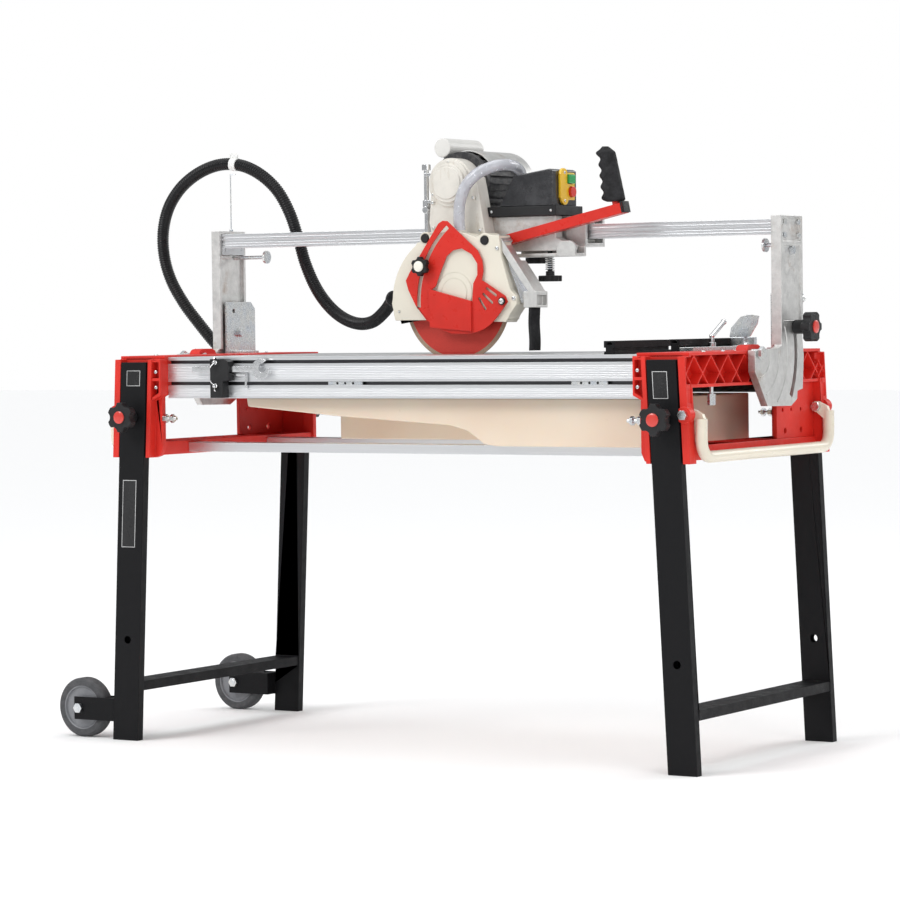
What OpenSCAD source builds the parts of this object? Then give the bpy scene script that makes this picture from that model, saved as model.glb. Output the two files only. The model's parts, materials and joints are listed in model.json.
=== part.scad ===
// Wet tile saw on folding legs: bench, water tank, tilting gantry and sliding saw head.
// Millimetres, +Z up, +X to the right along the cut, -Y towards the person using it.
// Every module is written about the middle of the table; place() shifts it to the common origin.

/* [Bench] */
// Height of the table top above the floor
table_z = 800; // [700:1:900]
// Length of the front and rear rails between the two end castings
rail_length = 1110; // [900:1:1300]
// Distance from the front face of the front rail to the back face of the rear rail
rail_depth = 554; // [450:1:650]
// Height of a rail
rail_height = 85; // [60:1:100]
// Thickness of a rail, front to back
rail_thick = 30; // [20:1:40]
// Width of the slot that the blade runs in
blade_slot = 34; // [20:1:50]
// Thickness of the aluminium table plates
table_thick = 10; // [6:1:16]

/* [Legs and wheels] */
// Width of a leg tube as seen from the front
leg_width = 63; // [40:1:80]
// Thickness of a leg tube, front to back
leg_thick = 20; // [15:1:30]
// How far the outer edge of a leg is from the middle at the floor
leg_foot_x = 688; // [600:1:760]
// How far the outer edge of a leg is from the middle at table height
leg_top_x = 650; // [560:1:720]
// Distance from the middle to the front face of a leg
leg_face_y = 310; // [260:1:360]
// Wall of the leg tube
leg_wall = 2; // [1.5:0.1:4]
// Height of the clamp knobs
clamp_z = 677; // [640:1:720]
// Height of the second row of clamp holes
hole_z = 211; // [150:1:300]
// Transport wheel diameter
wheel_d = 125; // [80:1:160]
// Transport wheel width
wheel_w = 32; // [20:1:50]
// Distance from the middle to the wheel axle
wheel_x = 776; // [740:1:820]

/* [Carrying handles] */
// Distance from the middle to the centre of a handle's tube
bail_x = 689; // [685:1:700]
// Distance from the middle to a handle's upright parts
bail_y = 280; // [270:1:285]
// Height of the lower tube's centre
bail_z = 604; // [590:1:620]
// Radius of the handle tube
bail_r = 11.5; // [9:0.5:12]
// Radius of the bends, on the tube's centre
bail_bend = 32; // [26:1:45]
// Distance from the middle to the pivot bolts
pin_x = 667; // [665:1:669]
// Height of the pivot bolts
pin_z = 685; // [675:1:695]

/* [Gantry] */
// Height of the tilt axis
pivot_z = 798; // [760:1:830]
// Depth position of the tilt axis and of the blade
blade_y = -28; // [-60:1:20]
// Radius of the curved clamp slot about the tilt axis
slot_r = 165; // [140:1:190]
// Thickness of an upright and its sector plate
upright_thick = 16; // [10:1:25]
// Distance from the middle to the inner face of a sector plate
upright_x = 671; // [660:1:690]
// Height of the top of the uprights
upright_top = 1069; // [1000:1:1150]
// Front face of the bridge bar
bar_y = 81; // [60:1:120]
// Underside of the bridge bar
bar_z = 1032; // [1000:1:1080]
// Height of the bridge bar
bar_h = 30; // [20:1:60]
// Depth of the bridge bar
bar_d = 50; // [30:1:80]

/* [Head] */
// Blade diameter
blade_d = 250; // [200:1:300]
// Blade thickness
blade_t = 2.4; // [1.6:0.1:4]
// Height of the blade's centre
arbor_z = 910; // [880:1:960]
// Height of the motor shaft
motor_z = 1151; // [1120:1:1200]
// Sideways position of the motor shaft
motor_x = -26; // [-60:1:20]
// Motor housing radius over the fins
motor_r = 66; // [50:1:80]
// Sideways position of the head's lift axis
lift_x = 228; // [200:1:260]
// Height of the head's lift axis
lift_z = 1014; // [1000:1:1040]

/* [Hose] */
// Outside radius of the corrugated main hose
hose_r = 13.5; // [10:0.5:18]
// Outside radius of the clear hose on the head
clear_r = 12; // [8:0.5:15]

/* [Hidden] */
$fn = 48;
rail_x = rail_length / 2;
rail_y = rail_depth / 2;
slope = (leg_foot_x - leg_top_x) / table_z;
knob_l = 48;
left_end = wheel_x + wheel_d / 2;
right_end = upright_x + upright_thick + 1 + knob_l;
shift_x = (left_end - right_end) / 2;
slot_y0 = blade_y - blade_slot / 2;
slot_y1 = blade_y + blade_slot / 2;
face_y = leg_face_y - leg_thick;
guard_y = blade_y - 34;
hinge_x = 127.6;
hinge_z = 906.5;
guard_slot_r = 200.6;
pulley_r = 28;
hose_sides = 10;
wire_h = 124;
seam = 0.02;
rib_pitch = 71;
rib_angle = 46.7;
rib_y = -14.5;
rib_z = 762.5;
casting_top = table_z - 3 - seam;
hose_path = [[-671, 198, 766], [-723, 199, 788], [-767, 195, 824], [-806, 189, 868], [-842, 181, 915],
  [-870, 173, 967], [-882, 165, 1022], [-877, 157, 1078], [-855, 150, 1129], [-815, 143, 1171],
  [-762, 137, 1201], [-704, 132, 1216], [-647, 130, 1213], [-596, 130, 1192], [-555, 135, 1156],
  [-528, 142, 1107], [-513, 152, 1051], [-497, 157, 993], [-469, 155, 941], [-428, 144, 901],
  [-379, 127, 875], [-326, 105, 864], [-275, 79, 869], [-228, 49, 889], [-187, 13, 910],
  [-153, -33, 917]];
clear_path = [[12, -36, 1053], [11, -37, 1080], [14, -37, 1112], [28, -36, 1144], [52, -30, 1168],
  [78, -12, 1182], [90, 14, 1186], [92, 50, 1184], [84, 90, 1172], [69, 110, 1150],
  [59, 108, 1124], [57, 108, 1101]];

// ---------- helpers ----------

// Shift from the middle of the table to the common origin
module place() translate([shift_x, 0, 0]) children();
// A flat shape drawn in X and Z, thickened from y0 to y0 + t
module xz(y0, t) translate([0, y0 + t, 0]) rotate([90, 0, 0]) linear_extrude(t) children();
// A flat shape drawn in Y and Z, thickened from x0 to x0 + t
module yz(x0, t) translate([x0, 0, 0]) rotate([90, 0, 90]) linear_extrude(t) children();
// A cylinder along X, Y from a start point
module xcyl(p, r, l) translate(p) rotate([0, 90, 0]) cylinder(r = r, h = l);
module ycyl(p, r, l) translate(p) rotate([-90, 0, 0]) cylinder(r = r, h = l);
// A block between two corners
module box(a, b) translate(a) cube([b[0] - a[0], b[1] - a[1], b[2] - a[2]]);
// Children and their mirror image, left for right
module both_x() { children(); mirror([1, 0, 0]) children(); }
// Children and their mirror image, front for back
module both_y() { children(); mirror([0, 1, 0]) children(); }
// Edge of a splayed leg at height z, for a distance taken at table height
function splay(x, z) = x + (table_z - z) * slope;
// A hexagon head along +Y from p
module hex_y(p, r, l) translate(p) rotate([-90, 0, 0]) linear_extrude(l)
  polygon([for (i = [0:5]) [r * cos(60 * i), r * sin(60 * i)]]);
// A hexagon head along +X from p
module hex_x(p, r, l) translate(p) rotate([0, 90, 0]) linear_extrude(l)
  polygon([for (i = [0:5]) [r * cos(60 * i), r * sin(60 * i)]]);

// A lobed star knob, its bore along +Z from the hub face at z = 0
module star(r, h, hub_r, hub_h, bore, depth) difference() {
  union() {
    cylinder(r = hub_r, h = hub_h + 1);
    translate([0, 0, hub_h]) difference() {
      cylinder(r = r, h = h);
      for (i = [0:5]) rotate(60 * i) translate([r * 1.16, 0, -1]) cylinder(r = r * 0.36, h = h + 2);
    }
    translate([0, 0, hub_h + h - 1]) cylinder(r = r * 0.4, h = 4);
  }
  translate([0, 0, -1]) cylinder(r = bore, h = depth + 1);
}

// A faceted tube swept along a list of points
function unit(v) = v / norm(v);
function tangent(p, i) = unit(p[min(i + 1, len(p) - 1)] - p[max(i - 1, 0)]);
function side_of(t) = unit(cross(t, [0.31, 0.9, 0.22]));
function ring(p, i, r, n) = let (t = tangent(p, i), a = side_of(t), b = cross(t, a))
  [for (k = [0:n - 1]) p[i] + r * (cos(360 * k / n) * a + sin(360 * k / n) * b)];
function smooth(p) = [for (i = [0:len(p) - 2], s = [0, 1]) s == 0 ? p[i] :
  let (a = p[max(i - 1, 0)], b = p[i], c = p[i + 1], d = p[min(i + 2, len(p) - 1)])
  (9 * (b + c) - a - d) / 16, p[len(p) - 1]];
module sweep(p, r, n) {
  m = len(p);
  pts = [for (i = [0:m - 1]) each ring(p, i, r, n)];
  faces = concat([[for (k = [0:n - 1]) k]],
    [for (i = [0:m - 2], k = [0:n - 1])
      each [[i * n + k, (i + 1) * n + k, (i + 1) * n + (k + 1) % n],
            [i * n + k, (i + 1) * n + (k + 1) % n, i * n + (k + 1) % n]]],
    [[for (k = [n - 1:-1:0]) (m - 1) * n + k]]);
  polyhedron(points = pts, faces = faces);
}

// ---------- bench ----------

// One extruded rail: two T-slots on the outer face and shallow ribs between them
module rail_profile() difference() {
  translate([-rail_y, table_z - rail_height]) square([rail_thick, rail_height]);
  for (z = [table_z - 14, table_z - 58]) {
    translate([-rail_y - 1, z]) square([8, 7]);
    translate([-rail_y + 4, z - 4]) square([7, 15]);
  }
  for (i = [0:7]) translate([-rail_y - 0.5, table_z - 45 + 3.4 * i]) square([1, 1.2]);
  for (i = [0:4]) translate([-rail_y - 0.5, table_z - 80 + 3.4 * i]) square([1, 1.2]);
  translate([-rail_y + 14, table_z - 79]) square([10, 73]);
}
module side_rails() color("silver") place() both_y() yz(-rail_x, rail_length) rail_profile();

// Two worktop plates with the blade's slot between them, each with stiffening ribs below
module table_plates() color("gainsboro") place() {
  y0 = -rail_y + rail_thick;
  box([-rail_x, y0, table_z - table_thick], [rail_x, slot_y0, table_z]);
  box([-rail_x, slot_y1, table_z - table_thick], [rail_x, -y0, table_z]);
  for (y = [y0 + 40, y0 + 110, slot_y0 - 8, slot_y1, -y0 - 150, -y0 - 60])
    box([-rail_x, y, table_z - 32], [rail_x, y + 8, table_z - table_thick]);
}

// Crossed ribs of the end face, kept inside a block
module lattice_ribs(a, b) intersection() {
  box(a, b);
  for (i = [-4:4]) for (t = [-rib_angle, rib_angle]) translate([636, rib_y + rib_pitch * i, rib_z])
    rotate([t, 0, 0]) translate([0, -1.5, -80]) cube([40, 3, 160]);
}
// One corner of an end casting: the pocket for the leg, drawn for the right-hand front one
module casting_corner() {
  difference() {
    union() {
      // web behind the leg, thicker beside the rail
      xz(-face_y + 2, 8) polygon([[rail_x, casting_top], [splay(668, table_z), casting_top],
        [splay(668, 592), 592], [582, 592], [570, 596], [563, 612], [563, 719], [rail_x, 722]]);
      xz(-face_y + 2, 12) polygon([[570, 596], [582, 592], [590, 592], [590, 722], [563, 719], [563, 612]]);
      // outer and inner strips beside the leg
      xz(-face_y - 18, 20.5) polygon([[splay(653, 796), 796], [splay(668, 796), 796],
        [splay(668, 592), 592], [splay(653, 592), 592]]);
      xz(-face_y - 18, 20.5) polygon([[splay(574, 796), 796], [splay(584, 796), 796],
        [splay(584, 592), 592], [splay(574, 592), 592]]);
      // rail flange: outer frame and pocket ribs
      xz(-face_y - 15, 30) polygon([[rail_x, casting_top], [577, casting_top], [577, 790], [rail_x, 790]]);
      xz(-face_y - 15, 30) polygon([[rail_x, casting_top], [rail_x + 4, casting_top], [rail_x + 4, 727],
        [577, 717], [577, 711], [rail_x, 722]]);
      xz(-face_y - 15, 30) polygon([[rail_x, 757], [577, 757], [577, 751], [rail_x, 751]]);
      // handle boss beside the leg
      intersection() {
        ycyl([pin_x, -face_y - 22, pin_z], 15.5, 20);
        box([656.5, -face_y - 23, pin_z - 20], [690, -face_y, pin_z + 20]);
      }
    }
    // the end face is open here too, and has a shallow relief below
    box([659, -face_y - 14, 743], [690, -face_y + 20, 794]);
    box([669, -face_y - 13, 706], [690, -face_y + 5, 734]);
  }
  lattice_ribs([658.5, -face_y - 14.5, 742.5], [667, -face_y + 10, 794.5]);
}
// Top plate with the boss of the tilt axis and the hump over it
module casting_top_plate() {
  box([rail_x, -face_y + 2, table_z - 3], [668, face_y - 2, table_z + 3]);
  xcyl([642, blade_y, pivot_z], 16, 26);
  yz(647, 17) polygon([[-46, 801], [-37, 811], [-28, 814.5], [14, 814.5], [23, 811], [31, 801]]);
}
// Ribbed end face with its back wall and lower flange
module casting_face() difference() {
  y = face_y - 10 - 2 * seam;
  union() {
    box([636, -y, 738], [642, y, casting_top]);
    box([636, -y, 736], [668, y, 742]);
    lattice_ribs([640, -y, 738], [666, y, casting_top]);
  }
  xcyl([630, blade_y, pivot_z], 16 + seam, 50);
}
// Lower beam with pockets
module casting_beam() difference() {
  union() {
    box([590 + seam, -face_y + 10 + seam, 597], [splay(655, 597) - 4, face_y - 10 - seam, 625]);
    box([568, -face_y + 14 + seam, 597], [591, face_y - 14 - seam, 625]);
  }
  for (i = [-4:3]) box([574, 64 * i + 4, 603], [splay(655, 597) - 10, 64 * i + 60, 640]);
}
// One end casting, drawn for the right-hand end
module end_casting() difference() {
  union() {
    both_y() casting_corner();
    casting_top_plate();
    casting_face();
    casting_beam();
    // rear panel
    box([647, 112, 625 + seam], [655, face_y - 10 - seam, 736 - seam]);
  }
  // bores of the column bolts, tilt axis, leg clamp studs and handle bolts
  for (s = [-1, 1]) xcyl([550, s * (face_y - 8), 673], 4.05, 60);
  xcyl([600, blade_y, pivot_z], 8, 80);
  for (s = [-1, 1]) {
    translate([splay(leg_top_x - leg_width / 2, clamp_z), 0, clamp_z])
      rotate([90 * s, 0, 0]) cylinder(r = 6, h = face_y + 40);
    translate([pin_x, 0, pin_z]) rotate([90 * s, 0, 0]) cylinder(r = 6, h = face_y + 40);
  }
  // holes of the rear panel
  for (y = [139, 178, 222]) xcyl([640, y, 682], 4, 40);
  for (y = [150, 223]) xcyl([640, y, 640], 6, 40);
}
module end_castings() color("crimson") place() both_x() end_casting();

module lower_rails() color("silver") place()
  for (y = [-190, 100]) difference() {
    box([-568, y, 601], [568, y + 50, 620]);
    box([-569, y + 3, 604], [569, y + 47, 617]);
  }

// Shallow tray with a deep sump towards the right
module tank_outline(t) polygon([[-380 + t, 715], [-377 + t, 697 + t], [-156, 678 + t], [110, 661 + t],
  [150, 650 + t], [188, 624 + t], [215, 620 + t], [548 - t, 620 + t], [548 - t, 715]]);
module water_tank() color("blanchedalmond") place() difference() {
  union() {
    xz(-246, 450) tank_outline(0);
    box([-350, 60, 620], [548, 204, 714.8]);
  }
  xz(-242, 442) translate([0, 0.5]) tank_outline(4);
  box([-346, 64, 624], [544, 200, 720]);
}
module pump() color("dimgray") place() {
  box([300, 90, 624], [370, 150, 690]);
  ycyl([335, 70, 655], 14, 21);
  translate([335, 120, 689]) cylinder(r = 8, h = 14);
}

// Steel plates that stand on the castings inside the uprights and carry the tilt clamp
module tilt_plate() {
  yz(657, 6) difference() {
    polygon([[84, 803], [192, 803], [192, 900], [176, 915], [84, 915]]);
    translate([slot_r * cos(17.5) + blade_y, pivot_z + slot_r * sin(17.5)]) circle(r = 6);
    translate([110, 895]) circle(r = 5);
  }
  box([640, 100, 803], [657, 180, 808]);
}
module tilt_plates() color("lightgray") place() both_x() tilt_plate();

// Bolts of the tilt axis on both ends, and the stud of the tilt clamp
module tilt_pins() color("lightgray") place() {
  both_x() {
    xcyl([636, blade_y, pivot_z], 7.94, 53);
    hex_x([689, blade_y, pivot_z], 13, 8);
  }
  both_x() {
    xcyl([652, slot_r * cos(17.5) + blade_y, pivot_z + slot_r * sin(17.5)], 5.9, 58);
    hex_x([648, slot_r * cos(17.5) + blade_y, pivot_z + slot_r * sin(17.5)], 9, 9);
  }
  mirror([1, 0, 0]) hex_x([688.5, slot_r * cos(17.5) + blade_y, pivot_z + slot_r * sin(17.5)], 12, 9);
}

// Studs through the legs for the four clamp knobs
module clamp_studs() color("gray") place() both_x() both_y()
  ycyl([splay(leg_top_x - leg_width / 2, clamp_z), -leg_face_y - 30, clamp_z], 5.9, 60);

module tool_holder() color("black") place() difference() {
  xz(-rail_y - 22, 21.7) polygon([[-433, 796], [-398, 796], [-388, 790], [-388, 752], [-402, 750],
    [-402, 716], [-433, 716]]);
  box([-440, -rail_y - 14, 768], [-380, -rail_y - 8, 782]);
  box([-400, -rail_y - 7.3, 760.5], [-380, -rail_y - 1.7, 766.5]);
  ycyl([-418, -rail_y - 30, 789], 3, 60);
  ycyl([-418, -rail_y - 30, 741], 3, 60);
}
// Open-ended wrench through the holder, and a hex key beside it
module spare_tools() color("lightgray") place() {
  difference() {
    union() {
      box([-484, -rail_y - 13.5, 769], [-330, -rail_y - 8.5, 781]);
      ycyl([-314, -rail_y - 13.5, 775], 21, 5);
    }
    translate([-310, 0, 777]) rotate([0, -30, 0]) box([0, -rail_y - 20, -9], [40, -rail_y, 9]);
    ycyl([-310, -rail_y - 20, 777], 9, 20);
  }
  box([-398, -rail_y - 7, 761], [-352, -rail_y - 2, 766]);
  box([-357, -rail_y - 7, 735], [-352, -rail_y - 2, 761]);
}

// Bolts of the frame: column bolts, handle bolts, rule wing screw
module frame_bolts() color("silver") place() {
  both_x() {
    for (s = [-1, 1]) {
      xcyl([531, s * (face_y - 8), 673], 4, 50);
      hex_x([538, s * (face_y - 8), 673], 9, 7);
      hex_x([554, s * (face_y - 8), 673], 9, 8.7);
      ycyl([pin_x, s > 0 ? face_y - 29 : -face_y - 22, pin_z], 5.9, 51);
      hex_y([pin_x, s > 0 ? face_y + 22 : -face_y - 30, pin_z], 10, 8);
      hex_y([pin_x, s > 0 ? face_y - 29 : -face_y + 21, pin_z], 10, 8);
    }
  }
  translate([655, -172, 700]) cylinder(r = 4, h = 36);
  box([652, -184, 700], [658, -160, 722]);
}

// ---------- legs and wheels ----------

// One splayed tube, drawn for the right-hand end
module leg_tube(z1) difference() {
  xz(-leg_face_y, leg_thick) polygon([[leg_foot_x - leg_width, 0], [leg_foot_x, 0],
    [splay(leg_top_x, z1), z1], [splay(leg_top_x, z1) - leg_width, z1]]);
  xz(-leg_face_y + leg_wall, leg_thick - 2 * leg_wall) polygon([
    [splay(leg_top_x, 4) - leg_width + leg_wall, 4], [splay(leg_top_x, 4) - leg_wall, 4],
    [splay(leg_top_x, z1 - 4) - leg_wall, z1 - 4],
    [splay(leg_top_x, z1 - 4) - leg_width + leg_wall, z1 - 4]]);
  ycyl([splay(leg_top_x - leg_width / 2, hole_z), -leg_face_y - 1, hole_z], 8, leg_thick + 2);
  ycyl([splay(leg_top_x - leg_width / 2, clamp_z), -leg_face_y - 1, clamp_z], 6.5, leg_thick + 2);
}
module leg_frame() {
  both_y() leg_tube(790);
  difference() {
    box([622, -face_y, 104], [682, face_y, 124]);
    box([624, -face_y + 2, 106], [680, face_y - 2, 122]);
  }
}
module leg_frame_right() color("black") place() leg_frame();
// The left frame also carries the two wheel forks
module leg_frame_left() color("black") place() {
  mirror([1, 0, 0]) leg_frame();
  both_y() difference() {
    union() {
      box([-790, -leg_face_y + 1, 38], [-685, -leg_face_y + 5, 86]);
      box([-790, -leg_face_y + 46, 38], [-685, -leg_face_y + 50, 86]);
      box([-700, -leg_face_y + 1, 38], [-685, -leg_face_y + 50, 86]);
    }
    ycyl([-wheel_x, -leg_face_y - 5, wheel_d / 2], 6.2, 70);
  }
}
module axle_bolts() color("silver") place() both_y() {
  ycyl([-wheel_x, -leg_face_y - 4, wheel_d / 2], 5.95, 62);
  hex_y([-wheel_x, -leg_face_y - 7, wheel_d / 2], 11, 7.7);
  hex_y([-wheel_x, -leg_face_y + 50.3, wheel_d / 2], 11, 7);
}
module wheel() difference() {
  rotate([90, 0, 0]) rotate_extrude() polygon([[6, -18], [14, -18], [14, -9], [42, -9], [44, -14],
    [50, -wheel_w / 2], [wheel_d / 2 - 5, -wheel_w / 2], [wheel_d / 2, -wheel_w / 2 + 6],
    [wheel_d / 2, wheel_w / 2 - 6], [wheel_d / 2 - 5, wheel_w / 2], [50, wheel_w / 2], [44, 14],
    [42, 9], [14, 9], [14, 18], [6, 18]]);
}
module wheel_front() color("dimgray") place()
  translate([-wheel_x, -leg_face_y + 25.5, wheel_d / 2]) wheel();
module wheel_rear() color("dimgray") place()
  translate([-wheel_x, leg_face_y - 25.5, wheel_d / 2]) wheel();

// Clamp knob drawn for the front right leg
module clamp_knob() translate([splay(leg_top_x - leg_width / 2, clamp_z), -leg_face_y - 0.5, clamp_z])
  rotate([90, 0, 0]) star(31, 18, 14, 27, 5.95, 34);
module knob_front_right() color("black") place() clamp_knob();
module knob_front_left() color("black") place() mirror([1, 0, 0]) clamp_knob();
module knob_rear_right() color("black") place() mirror([0, 1, 0]) clamp_knob();
module knob_rear_left() color("black") place() mirror([1, 0, 0]) mirror([0, 1, 0]) clamp_knob();

// Carrying handle, a U of round tube hanging from two pivot bolts
module bail() difference() {
  union() {
    for (s = [-1, 1]) {
      translate([bail_x, s * bail_y, bail_z + bail_bend])
        cylinder(r = bail_r, h = pin_z - 8 - bail_z - bail_bend);
      translate([bail_x, s * (bail_y - bail_bend), bail_z + bail_bend]) rotate([0, 0, s > 0 ? 90 : -90])
        rotate([90, 0, 0]) rotate_extrude(angle = -90) translate([bail_bend, 0]) circle(r = bail_r);
      // ear that reaches in to the bolt behind the casting
      ycyl([pin_x, s > 0 ? face_y - 20.5 : -face_y + 10.5, pin_z], 11, 10);
      xz(s > 0 ? face_y - 20.5 : -face_y + 10.5, 10) polygon([[pin_x, pin_z - 11], [684, 660], [694, 662],
        [694, 676], [690, 686], [672, 694.5], [pin_x, pin_z + 11]]);
    }
    translate([bail_x, -(bail_y - bail_bend), bail_z]) rotate([-90, 0, 0])
      cylinder(r = bail_r, h = 2 * (bail_y - bail_bend));
  }
  for (s = [-1, 1]) ycyl([pin_x, s * bail_y - 20, pin_z], 5.95, 40);
}
module bail_right() color("ivory") place() bail();
module bail_left() color("ivory") place() mirror([1, 0, 0]) bail();

// ---------- gantry ----------

function arc_pts(c, r, a0, a1, n) = [for (i = [0:n]) c + r * [cos(a0 + (a1 - a0) * i / n),
  sin(a0 + (a1 - a0) * i / n)]];
module upright() difference() {
  union() {
    // sector plate outside the casting
    yz(upright_x, upright_thick) polygon([[-46, 803], [-46, 762], [8, 693], [113, 691], [140, 704],
      [142, 720], [166, 724], [172, 790], [166, 830], [170, 850], [170, upright_top],
      [72, upright_top], [72, 812], [60, 806]]);
    // side walls that make the upright a channel, open towards the middle
    box([665, 72, 812], [upright_x + 1, 80, upright_top]);
    box([665, 162, 830], [upright_x + 1, 170, upright_top]);
    box([665, 72, 1010], [upright_x + 1, 170, 1016]);
    box([665, 72, upright_top - 6], [upright_x + 1, 170, upright_top]);
  }
  // axis bore and curved clamp slot
  xcyl([650, blade_y, pivot_z], 8, 60);
  yz(650, 60) polygon(concat(arc_pts([blade_y, pivot_z], slot_r - 7, 21, -32, 24),
    arc_pts([blade_y, pivot_z], slot_r + 7, -32, 21, 24)));
  // recessed pad at the top and relief below it
  box([upright_x + upright_thick - 3, 82, 1018], [700, 160, upright_top - 5]);
  box([upright_x + upright_thick - 3, 82, 860], [700, 162, 1010]);
  for (z = [1030, 1056]) for (y = [90, 152]) xcyl([650, y, z], 3.2, 50);
}
module uprights() color("silver") place() difference() {
  both_x() upright();
  // room for the end pads of the bridge bar
  box([-670.9, 80.1, 1017], [670.9, 161.9, 1062.8]);
}

module bridge_bar() color("silver") place() difference() {
  union() {
    box([-663 + seam, bar_y, bar_z], [663 - seam, bar_y + bar_d, bar_z + bar_h]);
    both_x() box([663, 80.3, 1018], [670.8, 161.7, 1062.5]);
  }
  for (z = [1030, 1056]) for (y = [90, 152]) xcyl([-700, y, z], 3.2, 1400);
  for (s = [0, 1]) translate([0, bar_y + s * bar_d, 0]) {
    box([-669, -2.5, bar_z + 11], [669, 2.5, bar_z + 17]);
    box([-669, -1, bar_z + 5], [669, 1, bar_z + 7]);
    box([-669, -1, bar_z + 22], [669, 1, bar_z + 24]);
  }
  box([-669, bar_y + 4, bar_z + 4], [669, bar_y + bar_d - 4, bar_z + bar_h - 4]);
}

// Pad bolts, carriage stops, small side bolts and the wire that holds the hose up
module gantry_hardware() color("lightgray") place() {
  for (s = [-1, 1]) scale([s, 1, 1]) {
    for (z = [1030, 1056]) for (y = [90, 152]) {
      hex_x([684.3, y, z], 6, 5);
      xcyl([664, y, z], 3, 21);
    }
    hex_x([684.3, 122, 1000], 9, 8);
    ycyl([676, 170.3, 905], 8, 14);
    hex_y([676, 184, 905], 10, 7);
  }
  xcyl([-664.7, 124, 1011], 4, 85);
  xcyl([-580, 124, 1011], 14, 5);
  xcyl([625, 124, 1011], 4, 39.7);
  xcyl([625, 124, 1011], 14, 5);
  translate([-668, 121, upright_top + 0.3]) cylinder(r = 1.2, h = wire_h);
  translate([-668, 121, upright_top + 0.3]) cylinder(r = 4, h = 4);
  xcyl([-668, 121, upright_top + wire_h], 1.2, 14);
}

module tilt_knob() color("black") place()
  translate([upright_x + upright_thick + 1, slot_r * cos(17.5) + blade_y, pivot_z + slot_r * sin(17.5)])
  rotate([0, 90, 0]) star(31, 18, 14, 27, 5.95, 34);

// ---------- carriage ----------

cx0 = -30;
cx1 = 250;
lock_x = 118;
module carriage_body() color("silver") place() difference() {
  union() {
    difference() {
      // channel round the bar
      box([cx0, 66, 1016], [cx1, 146, 1078]);
      box([cx0 - 1, 74, 1024], [cx1 + 1, 138, 1070]);
    }
    // ledge under the head frame, with the ears and stub of the lift axis
    box([100, 22, 996], [cx1, 67, 1003]);
    box([100, 60, 996], [cx1, 67, 1017]);
    xz(20, 8) polygon([[206, 996], [cx1, 996], [cx1, 1020], [240, 1028], [216, 1028], [206, 1018]]);
    ycyl([lift_x, 26, lift_z], 6, 42);
  }
  translate([179, 42, 980]) cylinder(r = 5.05, h = 30);
  translate([lock_x, 100, 980]) cylinder(r = 4.05, h = 60);
}
// Nylon glide bars above and below the bridge bar
module glides() color("dimgray") place() for (x = [cx0 + 22, cx1 - 22]) {
  for (z = [bar_z + bar_h + 3.8, bar_z - 3.8]) ycyl([x, 74.2, z], 3.5, 63.6);
}
module lock_knob() color("black") place() {
  translate([lock_x, 100, 984]) difference() {
    cylinder(r = 27, h = 21);
    for (i = [0:4]) rotate(72 * i) translate([31, 0, -1]) cylinder(r = 9, h = 24);
  }
  translate([lock_x, 100, 984]) cylinder(r = 12, h = 28);
  translate([lock_x, 100, 984]) cylinder(r = 4, h = 47.7);
}
module depth_screw() color("black") place() {
  translate([179, 42, 958]) cylinder(r = 5, h = 49.8);
  translate([179, 42, 946]) difference() {
    cylinder(r = 24, h = 12);
    for (i = [0:5]) rotate(60 * i) translate([28, 0, -1]) cylinder(r = 8, h = 14);
  }
  translate([179, 42, 957]) cylinder(r = 9, h = 10);
}
module depth_spring() color("silver") place() translate([179, 42, 967.3]) difference() {
  cylinder(r = 10, h = 28.4);
  translate([0, 0, -1]) cylinder(r = 8, h = 40);
}

// ---------- head ----------

// Casting that joins the belt casing to the lift axis and carries the switch box
module head_frame() color("silver") place() difference() {
  union() {
    xz(30, 28) polygon([[-60, 1024], [60, 1008], [206, 1008], [228, 1005], [228, 1023], [200, 1036],
      [200, 1080], [-60, 1080]]);
    ycyl([lift_x, 30, lift_z], 9, 28);
    // shelf for the motor foot
    box([-60, 30, 1079], [20, 62, 1084]);
  }
  xz(44, 20) polygon([[-50, 1030], [60, 1018], [190, 1018], [190, 1070], [-50, 1070]]);
  ycyl([lift_x, 0, lift_z], 6.05, 80);
}
module casing_outline(e) {
  translate([motor_x, motor_z]) circle(r = 52 + e);
  polygon([[motor_x - 45 - e, motor_z], [motor_x - 52 - e, motor_z - 80], [-70 - e, 1040],
    [-43 - e, arbor_z - 4], [43 + e, arbor_z - 4], [58 + e, 1040], [motor_x + 62 + e, motor_z + 10],
    [motor_x + 30, motor_z + 38 + e]]);
  translate([0, arbor_z]) circle(r = 46 + e);
}
// Two-part belt housing, closed, with the round cap on its front
module belt_casing() color("beige") place() difference() {
  union() {
    xz(-10, 40) casing_outline(0);
    ycyl([motor_x, -17, motor_z], 48, 8);
    ycyl([motor_x, -24, motor_z], 40, 8);
    ycyl([motor_x, -27, motor_z], 33, 4);
    for (p = [[-67, 1112], [-66, 1060], [46, 1052], [30, 1120], [-26, 1193]])
      ycyl([p[0], -13, p[1]], 4.5, 6);
  }
  xz(-6, 32) casing_outline(-4);
  ycyl([0, -20, arbor_z], 12.05, 30);
  ycyl([motor_x, 20, motor_z], 16, 20);
}
module motor_housing() color("dimgray") place() difference() {
  union() {
    ycyl([motor_x, 30, motor_z], 58, 142);
    ycyl([motor_x, 30, motor_z], motor_r, 14);
    for (i = [0:23]) translate([motor_x, 44, motor_z]) rotate([0, 15 * i, 0])
      translate([-1.3, 0, 56]) cube([2.6, 124, 10]);
    box([motor_x - 40, 40, 1084], [motor_x + 40, 150, 1100]);
  }
  ycyl([motor_x, 26, motor_z], 46, 130);
  ycyl([motor_x, 120, motor_z], 10.05, 70);
}
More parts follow.
